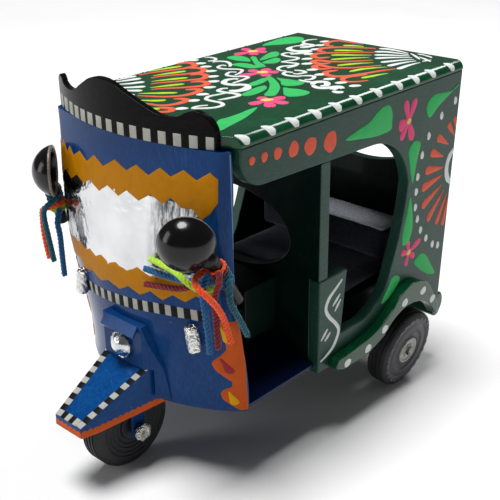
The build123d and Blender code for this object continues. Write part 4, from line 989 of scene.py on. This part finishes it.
    # mudguard: chequered tapes down both folds and across the tip
    gt = guard_top
    L = 36.0
    for s in (1, -1):
        n = 16
        for i in range(n):
            a, b = -183.2 + 2.4 * i, -183.2 + 2.4 * (i + 1)
            if s < 0 and i >= 15:
                continue
            for t in (0,):
                y0, y1 = a, b
                e0, e1 = 7.5 + MG_OUT * (y0 + 183.4) - 0.1, 7.5 + MG_OUT * (y1 + 183.4) - 0.1
                wid = 2.9
                quad = [(s * (e0 - wid), y0 + 0.1), (s * e0, y0 - 0.1), (s * e1, y1 - 0.1), (s * (e1 - wid), y1 + 0.1)]
                pw.area("check_light" if (i % 2 == 0) else "check_dark", gt, quad if s > 0 else quad[::-1], 0.12, 0.15, smooth=False)
    for i in range(4):
        a = -4.6 + 2.3 * i
        quad = [(a, -183.3), (a + 2.3, -183.3), (a + 2.3, -180.6), (a, -180.6)]
        pw.area("check_dark" if i % 2 == 0 else "check_light", gt, quad, 0.12, 0.15, smooth=False)
    # scalloped trim along the lower edge
    def low(y):
        return 30.4 + 0.05 * (y + 176) if y > -176 else 30.4 - 0.0583 * (y + 176)
    for s in (1, -1):
        f = guard_side(s)
        ys = np.arange(-183.3, -146.2, 0.3)
        topz = [(y, low(y) + 2.5 + 0.75 * abs(math.sin(math.pi * (y + 183.3) / 2.55)) ** 0.8) for y in ys]
        botz = [(y, low(y) + 0.1) for y in ys]
        pw.strip("trim", f, -183.3, -146.5, topz, botz, 0.16, du=0.3, rows=3)
    xs = np.arange(-7.5, 7.51, 0.25)
    pw.strip("trim", guard_front, -7.45, 7.45, [(x, 30.9 + 2.2 + 0.6 * abs(math.sin(math.pi * (x + 7.5) / 2.5))) for x in xs], [(x, 30.9) for x in xs], 0.16, du=0.25, rows=3)
    pw.build("tin_paint", M)


roof_ornament()
side_ornament()
rear_ornament()
tin_ornament()


# ------------------------------------------------------------------ boards and tin
def dress(node, mat, bevel=None, sharp=30, body="body"):
    """The node's own shape with its seams welded, its sharp edges rounded by bevel mm, and a painted finish."""
    src = NODES[node]
    bm = bmesh.new()
    bm.from_mesh(src.data)
    bmesh.ops.remove_doubles(bm, verts=bm.verts, dist=2e-6)
    bmesh.ops.dissolve_limit(bm, angle_limit=math.radians(0.6), verts=bm.verts, edges=bm.edges)
    if bevel:
        bm.normal_update()
        edges = [e for e in bm.edges if len(e.link_faces) == 2 and e.calc_face_angle(0) > math.radians(sharp)]
        bmesh.ops.bevel(bm, geom=edges, offset=bevel / 1000, segments=3, profile=0.55, affect="EDGES", clamp_overlap=True, loop_slide=True)
    big = [f for f in bm.faces if len(f.verts) > 4]
    bmesh.ops.triangulate(bm, faces=big)
    me = bpy.data.meshes.new(node + "_shape")
    bm.to_mesh(me)
    bm.free()
    me.materials.clear()
    me.materials.append(mat)
    me.polygons.foreach_set("use_smooth", [True] * len(me.polygons))
    me.set_sharp_from_angle(angle=math.radians(38))
    ob = bpy.data.objects.new(node + "_painted", me)
    bpy.context.scene.collection.objects.link(ob)
    w = ob.modifiers.new("normals", "WEIGHTED_NORMAL")
    w.keep_sharp = True
    w.weight = 80
    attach(ob, body)
    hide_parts(node)
    return ob


def finish_node(node, mat):
    me = NODES[node].data
    me.materials.clear()
    me.materials.append(mat)


# boards finished in the inside green or the navy are darkened as painted shade for the dark cab; the side green is
# greyed as painted light
DRESS_ROWS = [  # node, finish, rounding of its edges in mm, slot
    ("roof_board", "green", 0.35, "green_paint"), ("side_panel_left", "green_side_painted_light", 0.55, "green_paint"), ("side_panel_right", "green_side_painted_light", 0.55, "green_paint"),
    ("rear_panel", "green_side_painted_light", 0.5, "green_paint"), ("partition_board", "green_in_painted_shade", 0.4, "green_paint"), ("rear_floor", "green_in_painted_shade", 0.3, "green_paint"),
    ("front_header", "navy", 0.3, "green_paint"), ("fender_left", "green", 0.9, "green_paint"), ("fender_right", "green", 0.9, "green_paint"),
    ("rear_bumper", "green", 0.7, "green_paint"), ("driver_seat", "green_in_painted_shade", 0.5, "green_paint"), ("passenger_seat_base", "green_in_painted_shade", 0.5, "green_paint"),
    ("crest_board", "black", 0.4, "black_gloss"), ("mudguard", "blue_top", 0.35, "blue_tin"), ("front_fork", "blue", 0.2, "blue_tin"),
    ("nose_fairing", "blue", 0.8, "blue_tin"), ("headlight_visor", "blue", 0.25, "blue_tin"), ("front_floor", "navy", 0.25, "blue_tin"),
]
INNER = {"rear_panel": (1, -1), "side_panel_left": (0, -1), "side_panel_right": (0, 1), "roof_board": (2, -1)}  # the faces turned to the inside: axis and way
for node, mat, bevel, slot in DRESS_ROWS:
    board = dress(node, M[mat], bevel)
    # faces turned to the inside take the darkened inside green: painted shade
    if node in INNER:
        axis, way = INNER[node]
        board.data.materials.append(M["green_in_painted_shade"])
        for poly in board.data.polygons:
            if poly.normal[axis] * way > 0.9:
                poly.material_index = 1
    # the partition's edge faces take the greyer side green: painted light
    if node == "partition_board":
        board.data.materials.append(M["green_side_painted_light"])
        for poly in board.data.polygons:
            if abs(poly.normal[0]) > 0.6:
                poly.material_index = 1
for node, mat in (("front_shell", "blue"), ("rear_axle", "wire"), ("rear_axle_brackets", "wire"), ("front_axle", "wire"),
                  ("mirror_stalk_left", "stick"), ("mirror_stalk_right", "stick"), ("front_hub", "hub_dark")):
    finish_node(node, M[mat])


# ------------------------------------------------------------------ turned pieces
def turned(profile, seg=64, axis="X", wobble=None):
    """Revolves rows (along, radius) about an axis through the origin; returns verts and faces, closed if the profile is."""
    verts, faces = [], []
    n = len(profile)
    for i in range(seg):
        t = 2 * math.pi * i / seg
        c, s = math.cos(t), math.sin(t)
        for k, (a, r) in enumerate(profile):
            rr = r * (wobble(t, a, r) if wobble else 1.0)
            verts.append((a, rr * c, rr * s) if axis == "X" else ((rr * c, a, rr * s) if axis == "Y" else (rr * c, rr * s, a)))
    for i in range(seg):
        j = (i + 1) % seg
        for k in range(n - 1):
            faces.append((i * n + k, i * n + k + 1, j * n + k + 1, j * n + k))
    return verts, faces


def moved(verts, m):
    return [tuple(m @ Vector(v)) for v in verts]


CAMBER = math.radians(8.0)
WHEEL_R, WHEEL_W, HUB_R = 18.2, 10.0, 6.2
cx = 49.0 - WHEEL_W / 2 * math.cos(CAMBER)
cz = WHEEL_R * math.cos(CAMBER) + WHEEL_W / 2 * math.sin(CAMBER)
REAR_AXLE_Y = -32.8
FRONT_C = (0.0, -156.6, 22.9233)


def rear_tyre(s, body, node):
    w, R = WHEEL_W / 2, WHEEL_R
    turn = Matrix.Translation((s * cx, REAR_AXLE_Y, cz)) @ Matrix.Rotation(s * CAMBER, 4, "Y")
    # outer sidewall with rings, shoulder, tread, inner sidewall
    prof = [(-w + 0.5, HUB_R + 0.02), (-w + 0.1, 7.0), (-w + 0.45, 7.6), (-w + 0.45, 9.6), (-w + 0.1, 10.0), (-w + 0.05, 12.4), (-w + 0.35, 12.9), (-w + 0.35, 13.5), (-w + 0.05, 13.9), (-w + 0.08, 15.4), (-w + 0.65, 17.2), (-w + 1.7, 18.0),
            (-2.6, R), (-2.3, R - 0.5), (-1.7, R - 0.5), (-1.4, R), (-0.35, R), (-0.1, R - 0.5), (0.1, R - 0.5), (0.35, R), (1.4, R), (1.7, R - 0.5), (2.3, R - 0.5), (2.6, R),
            (w - 1.7, 18.0), (w - 0.65, 17.2), (w - 0.08, 15.4), (w - 0.05, 13.9), (w - 0.35, 13.5), (w - 0.35, 12.9), (w - 0.05, 12.4), (w - 0.1, 10.0), (w - 0.45, 9.6), (w - 0.45, 7.6), (w - 0.1, 7.0), (w - 0.5, HUB_R + 0.02), (-w + 0.5, HUB_R + 0.02)]
    n = len(prof)
    seg = 96
    verts, faces = turned(prof, seg)
    fm = []
    for i in range(seg):
        for k in range(n - 1):
            fm.append(1 if (k < 9 or k >= 26) else 0)
    # ring of raised dashes on both sidewalls
    for side in (-1, 1):
        for d in range(24):
            a0, a1 = 2 * math.pi * (d + 0.14) / 24, 2 * math.pi * (d + 0.62) / 24
            b = len(verts)
            m = 6
            for x, inset in ((side * (w - 0.1), 0.0), (side * (w + 0.13), 0.18)):
                for r in (14.7 + inset, 16.0 - inset):
                    for i in range(m):
                        a = a0 + (a1 - a0) * i / (m - 1)
                        a = a + (0.5 * (a0 + a1) - a) * inset * 0.3
                        verts.append((x, r * math.cos(a), r * math.sin(a)))
            for i in range(m - 1):
                lo0, hi0, lo1, hi1 = b + i, b + m + i, b + 2 * m + i, b + 3 * m + i
                for q in ((lo1, hi1, hi1 + 1, lo1 + 1), (lo0, lo1, lo1 + 1, lo0 + 1), (hi0, hi0 + 1, hi1 + 1, hi1)):
                    faces.append(q)
                    fm.append(2)
            for e in (0, m - 1):
                faces.append((b + e, b + m + e, b + 3 * m + e, b + 2 * m + e))
                fm.append(2)
    # tread blocks on the shoulders
    for side in (-1, 1):
        for d in range(44):
            a0, a1 = 2 * math.pi * d / 44, 2 * math.pi * (d + 0.55) / 44
            b = len(verts)
            for x in (side * (w - 2.1), side * (w - 0.95)):
                r = R + 0.0 if abs(x) < w - 1.5 else R - 0.42
                for rr in (r - 0.5, r):
                    for a in (a0, a1):
                        verts.append((x, rr * math.cos(a), rr * math.sin(a)))
            for q in ((2, 3, 7, 6), (0, 2, 6, 4), (1, 5, 7, 3), (4, 6, 7, 5), (0, 1, 3, 2)):
                faces.append(tuple(b + i for i in q))
                fm.append(0)
    ob = new_object(node + "_rubber", moved(verts, turn), faces, [M["rubber"], M["sidewall"], M["dash"]], body, fm, sharp=40)
    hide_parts(node)
    # hub: dished disc with a rolled rim
    hp = [(-w - 0.2, 1.6), (-w - 0.28, 2.9), (-w + 0.25, 3.2), (-w + 0.3, 4.9), (-w - 0.22, 5.3), (-w - 0.25, 5.9), (-w + 0.05, HUB_R), (w - 0.05, HUB_R), (w + 0.25, 5.9), (w + 0.22, 5.3), (w - 0.3, 4.9), (w - 0.25, 3.2), (w + 0.28, 2.9), (w + 0.2, 1.6), (-w - 0.2, 1.6)]
    v, f = turned(hp, 48)
    hub = new_object(node.replace("tyre", "hub") + "_disc", moved(v, turn), f, M["hub"], body, sharp=35)
    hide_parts(node.replace("tyre", "hub"))


def front_tyre():
    w, R = 5.0, 18.6
    prof = [(-w + 0.4, HUB_R + 0.02), (-w + 0.1, 6.8)]
    for r0 in (7.6, 9.4, 11.2, 13.0):
        prof += [(-w + 0.05, r0), (-w + 0.42, r0 + 0.35), (-w + 0.42, r0 + 0.75), (-w + 0.05, r0 + 1.1)]
    prof += [(-w + 0.1, 15.6), (-w + 0.65, 17.5), (-w + 1.7, 18.4)]
    half = prof[:]
    tread = []
    for x in (-2.7, -0.9, 0.9, 2.7):
        tread += [(x - 0.45, R), (x - 0.28, R - 0.55), (x + 0.28, R - 0.55), (x + 0.45, R)]
    full = half + tread + [(-a, r) for a, r in reversed(half)] + [half[0]]
    v, f = turned(full, 96)
    turn = Matrix.Translation(FRONT_C)
    ob = new_object("front_tyre_rubber", moved(v, turn), f, M["rubber"], "front_wheel", sharp=40)
    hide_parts("front_tyre")


def dash_material():
    m = Mat("rubber dashes", Specular_IOR_Level=0.4)
    c = m.noise(400, 4)
    return m.out(m.ramp(c, [(0.3, lin(62, 62, 68)), (0.7, lin(104, 104, 110))]), m.span(c, 0.45, 0.65, 0.3, 0.7), m.bump(m.noise(1200, 3), 0.3, 0.0001))


M["dash"] = dash_material()
rear_tyre(1, "rear_left_wheel", "rear_left_tyre")
rear_tyre(-1, "rear_right_wheel", "rear_right_tyre")
front_tyre()


def domes():
    for tag, c, turn in (("left", (39.0, -156.5, 108.7), 45.0), ("right", (-41.346, -149.6, 113.9), -45.0)):
        # bowl profile, bulging to -Y: outer face from the crown to the rim, rolled lip, inner face back to the crown
        prof = []
        for i in range(17):
            a = math.radians(74.3) * i / 16
            prof.append((2.78 - 10.28 * math.cos(a), 10.28 * math.sin(a)))
        prof += [(0.35, 9.92), (0.75, 9.9), (1.0, 9.6), (1.02, 9.2), (0.85, 8.85), (0.3, 8.72)]
        for i in range(12):
            a = math.radians(72.5) * (11 - i) / 11
            prof.append((2.78 - 9.08 * math.cos(a), 9.08 * math.sin(a)))
        n = len(prof)
        seg = 72
        v, f = turned(prof, seg, "Y", lambda t, a, r: 1 + 0.006 * math.sin(3 * t + 1) + 0.004 * math.sin(7 * t))
        fm = [1 if 16 <= k <= 21 else 0 for i in range(seg) for k in range(n - 1)]
        m = Matrix.Translation(c) @ Matrix.Rotation(math.radians(turn), 4, "Z")
        ob = new_object("mirror_dome_%s_bowl" % tag, moved(v, m), f, [M["dome"], M["rim"]], "body", fm, sharp=50)
        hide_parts("mirror_dome_%s" % tag)


M["rim"] = enamel("worn rim", lin(60, 56, 52), lin(120, 112, 100), lin(196, 186, 168), coat=0.3, rough=(0.35, 0.6), dust=0.5)
domes()


# ------------------------------------------------------------------ foil pieces
def crumple(p, amp, freq, seed=0.0):
    q = Vector(p) * freq + Vector((seed, seed * 1.7, -seed))
    d, pts = noise.voronoi(q)
    return amp * (0.9 * (d[1] - d[0]) - 0.35 + 0.6 * noise.noise(q * 1.9))


def windscreen():
    verts, faces = [], []
    nu, nv = 190, 90
    for j in range(nv + 1):
        for i in range(nu + 1):
            x = -43.6 + (36.0 + 43.6) * i / nu
            z = 84.6 + (117.8 - 84.6) * j / nv
            p, n = tin(x, z)
            e = min(1.0, min(i, nu - i) / 5, min(j, nv - j) / 4)
            soft = max(0.0, min(1.0, (abs(x - 2) - 12) / 20))
            c = crumple((x, 0, z), 0.13, 0.23, 3.1) + crumple((x, 0, z), 0.05 + 0.07 * soft, 0.62, 8.2)
            off = (0.17 + max(-0.12, c)) * e + 0.015
            verts.append(np.array(p) + np.array(n) * off)
    for j in range(nv):
        for i in range(nu):
            a = j * (nu + 1) + i
            faces.append((a, a + 1, a + nu + 2, a + nu + 1))
    ob = new_object("windscreen_foil_sheet", verts, faces, M["foil"], "body")
    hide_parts("windscreen_foil")


def capsule_lamps():
    verts, faces = [], []
    for k, (lx, ly, lz, lean, turn) in enumerate(((31.5, -148.2, 67.0, -10.0, 22.0), (-29.8, -148.6, 70.4, 10.0, -22.0))):
        prof = [(-5.25, 0.0), (-5.22, 1.6), (-5.0, 2.25), (-4.6, 2.55)] + [(-4.2 + 8.4 * i / 26, 2.6) for i in range(27)] + [(4.6, 2.52), (5.0, 2.2), (5.2, 1.7), (4.9, 1.3), (4.75, 0.7), (4.72, 0.0)]
        v, f = turned(prof, 40, "Z")
        m = Matrix.Translation((lx, ly, lz)) @ Matrix.Rotation(math.radians(lean), 4, "Y") @ Matrix.Rotation(math.radians(turn), 4, "Z")
        out = []
        for p in v:
            q = Vector(p)
            r = math.hypot(q.x, q.y)
            s = 1 + (crumple(q, 0.2, 0.5, 5 + k) - 0.05) / max(r, 1.0) if r > 0.5 else 1
            s = min(s, 1.02)
            out.append(tuple(m @ Vector((q.x * s, q.y * s, q.z))))
        b = len(verts)
        verts += out
        faces += [tuple(i + b for i in q) for q in f]
    ob = new_object("marker_lamp_foil", verts, faces, M["foil_small"], "body", sharp=60)
    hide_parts("marker_lamps")


def headlight():
    # a foil disc with a low bulge and a crumpled rim, set flat on the nose
    prof = []
    for i in range(16):
        a = math.radians(50.9) * i / 15
        prof.append((2.6 - 6.7 * math.cos(a), 6.7 * math.sin(a) * 0.93))
    prof += [(-1.35, 5.0), (-1.55, 5.25), (-1.3, 5.45), (-0.7, 5.4), (0.0, 5.25)]
    v, f = turned(prof, 64, "Y")
    out = []
    for p in v:
        q = Vector(p)
        r = math.hypot(q.x, q.z)
        k = max(0.0, min(1.0, (r - 3.4) / 1.4))
        c = crumple(q, 0.32, 0.9, 2.0) * k
        s = min(1 + c / max(r, 1.0), 1.03)
        out.append((q.x * s, -154.8 + q.y + 0.25 * c - 0.0, 56.0 + q.z * s))
    ob = new_object("headlight_foil", out, f, M["foil_lamp"], "body", sharp=60)
    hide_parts("headlight")


def nubs():
    verts, faces = [], []
    for s in (1, -1):
        prof = [(-1.6, 0.0), (-1.6, 2.4), (-1.5, 3.3), (-1.0, 3.8), (-0.2, 3.7), (0.5, 3.85), (1.1, 3.4), (1.5, 2.5), (1.35, 1.6), (0.9, 1.1), (0.8, 0.0)]
        v, f = turned(prof, 44, "X")
        b = len(verts)
        for p in v:
            q = Vector(p)
            c = crumple(q, 0.7, 0.42, 4.0 + s) - 0.1
            r = math.hypot(q.y, q.z)
            sc = min(1.02, 1 + c / max(r, 1.2)) if r > 0.3 else 1
            verts.append((s * (FRONT_C[0] + 10.3 + q.x + 0.3 * min(c, 0.2)), FRONT_C[1] + q.y * sc, FRONT_C[2] - 1.5 + q.z * sc))
        faces += [tuple(i + b for i in (q if s > 0 else q[::-1])) for q in f]
    ob = new_object("front_axle_foil", verts, faces, M["foil_nub"], "body", sharp=60)
    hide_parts("front_axle_nubs")


M["foil_lamp"] = foil_material("headlight foil", 240, (0.74, 0.76, 0.78, 1), strength=0.5)
# the nubs' foil: a darker, yellower tint than the other foil
M["foil_nub"] = foil_material("darker yellowish foil", 520, (0.62, 0.61, 0.56, 1))
windscreen()
capsule_lamps()
headlight()
nubs()


# ------------------------------------------------------------------ seats
def cushion(name, node, box, mat, shrink, cap, pressure):
    """A stuffed pad: blown up inside its cover with cloth, then fitted into its own room, box being its body stations."""
    lo, hi = (Vector(v) / 1000 for v in box)
    c, h = (lo + hi) / 2, (hi - lo) / 2
    S = 25.0     # the cover is blown up at 25 times its size, where the solver works best
    bm = bmesh.new()
    bmesh.ops.create_cube(bm, size=2)
    for v in bm.verts:
        v.co = Vector((v.co.x * (h.x - shrink[0]), v.co.y * (h.y - shrink[1]), v.co.z * (h.z - shrink[2]))) * S
    bmesh.ops.bevel(bm, geom=bm.edges[:], offset=min(h) * 0.3 * S, segments=3, profile=0.6, affect="EDGES")
    me = bpy.data.meshes.new(name)
    bm.to_mesh(me)
    bm.free()
    ob = bpy.data.objects.new(name, me)
    bpy.context.scene.collection.objects.link(ob)
    bpy.context.view_layer.objects.active = ob
    ob.select_set(True)
    rm = ob.modifiers.new("remesh", "REMESH")
    rm.mode, rm.voxel_size = "VOXEL", 0.0016 * S
    dg = bpy.context.evaluated_depsgraph_get()
    fine = bpy.data.meshes.new_from_object(ob.evaluated_get(dg))
    ob.modifiers.clear()
    ob.data = fine
    rest = np.array([v.co for v in fine.vertices])
    cl = ob.modifiers.new("cloth", "CLOTH")
    st = cl.settings
    st.use_pressure = True
    st.uniform_pressure_force = pressure
    st.effector_weights.gravity = 0
    st.quality = 5
    st.tension_stiffness, st.compression_stiffness, st.shear_stiffness, st.bending_stiffness = 12, 12, 4, 1.5
    st.mass = 0.4
    cl.collision_settings.use_collision = False
    scn = bpy.context.scene
    for fr in range(1, 21):
        scn.frame_set(fr)
    dg = bpy.context.evaluated_depsgraph_get()
    got = np.array([v.co for v in ob.evaluated_get(dg).data.vertices])
    ob.modifiers.clear()
    scn.frame_set(1)
    if got.shape == rest.shape and np.isfinite(got).all():
        d = got - rest
        L = np.linalg.norm(d, axis=1)
        lim = cap * S / 1000
        d *= np.minimum(1.0, lim / np.maximum(L, 1e-9))[:, None]
        now = rest + d
    else:
        now = rest
    now = now / S
    # crown and rumple, then fit into the solid's own room
    hx, hy, hz = h
    for i, p in enumerate(now):
        q = Vector(p) * 130
        p[2] += 0.00035 * noise.noise(q) + 0.00018 * noise.noise(q * 3.1)
    lo_, hi_ = now.min(0), now.max(0)
    k = np.minimum(1.0, np.array([2 * hx, 2 * hy, 2 * hz]) / (hi_ - lo_))
    now = (now - (lo_ + hi_) / 2) * k
    for v, p in zip(ob.data.vertices, now):
        v.co = W((c + Vector(p)) * 1000)
    ob.data.materials.clear()
    ob.data.materials.append(mat)
    ob.data.polygons.foreach_set("use_smooth", [True] * len(ob.data.polygons))
    sub = ob.modifiers.new("smooth", "SUBSURF")
    sub.levels = sub.render_levels = 1
    ob.select_set(False)
    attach(ob, "body")
    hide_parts(node)
    return ob


cushion("passenger_seat_pad", "passenger_seat_cushion", ((-36, -67, 50), (36, -20, 57)), M["plush"], (0.0012, 0.0012, 0.0012), 1.6, 4.0)
cushion("passenger_back_pad", "passenger_backrest", ((-36, -38, 57), (36, -20, 73)), M["plush"], (0.0012, 0.0014, 0.0010), 1.4, 4.0)
cushion("backrest_felt_strip", "backrest_strip", ((-36, -38, 73), (36, -20, 74.6)), M["felt"], (0.0003, 0.0003, 0.0002), 0.2, 2.0)


# ------------------------------------------------------------------ painted highlight: a lighter blue line along the tin's rear edges, for the lit edge of the sheet
for s in (1, -1):
    pw = Paintwork()
    z = np.linspace(36.5, 136.5, 60)
    pw.line("edge_blue", tin, [(s * (tin_run(q) - 0.05), q) for q in z], 0.5, 0.06, step=1.5)
    pw.build("tin_edge_%s" % ("left" if s > 0 else "right"), M)


# ------------------------------------------------------------------ floor and light
def studio():
    m = Mat("pale floor", Specular_IOR_Level=0.2)
    c = m.noise(6, 3)
    mat = m.out(m.ramp(c, [(0.3, (0.80, 0.80, 0.80, 1)), (0.7, (0.84, 0.84, 0.84, 1))]), 0.9)
    me = bpy.data.meshes.new("floor")
    s = 3.0
    me.from_pydata([(-s, -s, -0.0002), (s, -s, -0.0002), (s, s, -0.0002), (-s, s, -0.0002)], [], [(0, 1, 2, 3)])
    me.materials.append(mat)
    fl = bpy.data.objects.new("floor", me)
    bpy.context.scene.collection.objects.link(fl)
    world = bpy.data.worlds.new("studio")
    bpy.context.scene.world = world
    world.use_nodes = True
    bg = world.node_tree.nodes["Background"]
    bg.inputs["Color"].default_value = (1.0, 1.0, 1.0, 1)
    bg.inputs["Strength"].default_value = 0.1

    def area(name, at, aim, size, power, size_y=None):
        d = bpy.data.lights.new(name, "AREA")
        d.shape = "RECTANGLE"
        d.size, d.size_y = size, size_y or size
        d.energy = power
        o = bpy.data.objects.new(name, d)
        bpy.context.scene.collection.objects.link(o)
        o.location = at
        o.rotation_euler = (Vector(aim) - Vector(at)).to_track_quat("-Z", "Y").to_euler()
        return o

    d = bpy.data.lights.new("sky_soft", "SUN")
    d.energy, d.angle = 3.35, math.radians(26)
    o = bpy.data.objects.new("sky_soft", d)
    bpy.context.scene.collection.objects.link(o)
    o.rotation_euler = Vector((0.10, 0.16, -1)).to_track_quat("-Z", "Y").to_euler()
    area("back_soft", (-0.02, 0.66, 0.70), (0, 0.02, 0.12), 0.26, 2.6)
    area("left_soft", (-0.55, -0.75, 0.34), (0, -0.04, 0.08), 0.30, 1.6, 0.5)


studio()
bpy.context.scene.view_settings.view_transform = "Standard"
bpy.context.view_layer.update()
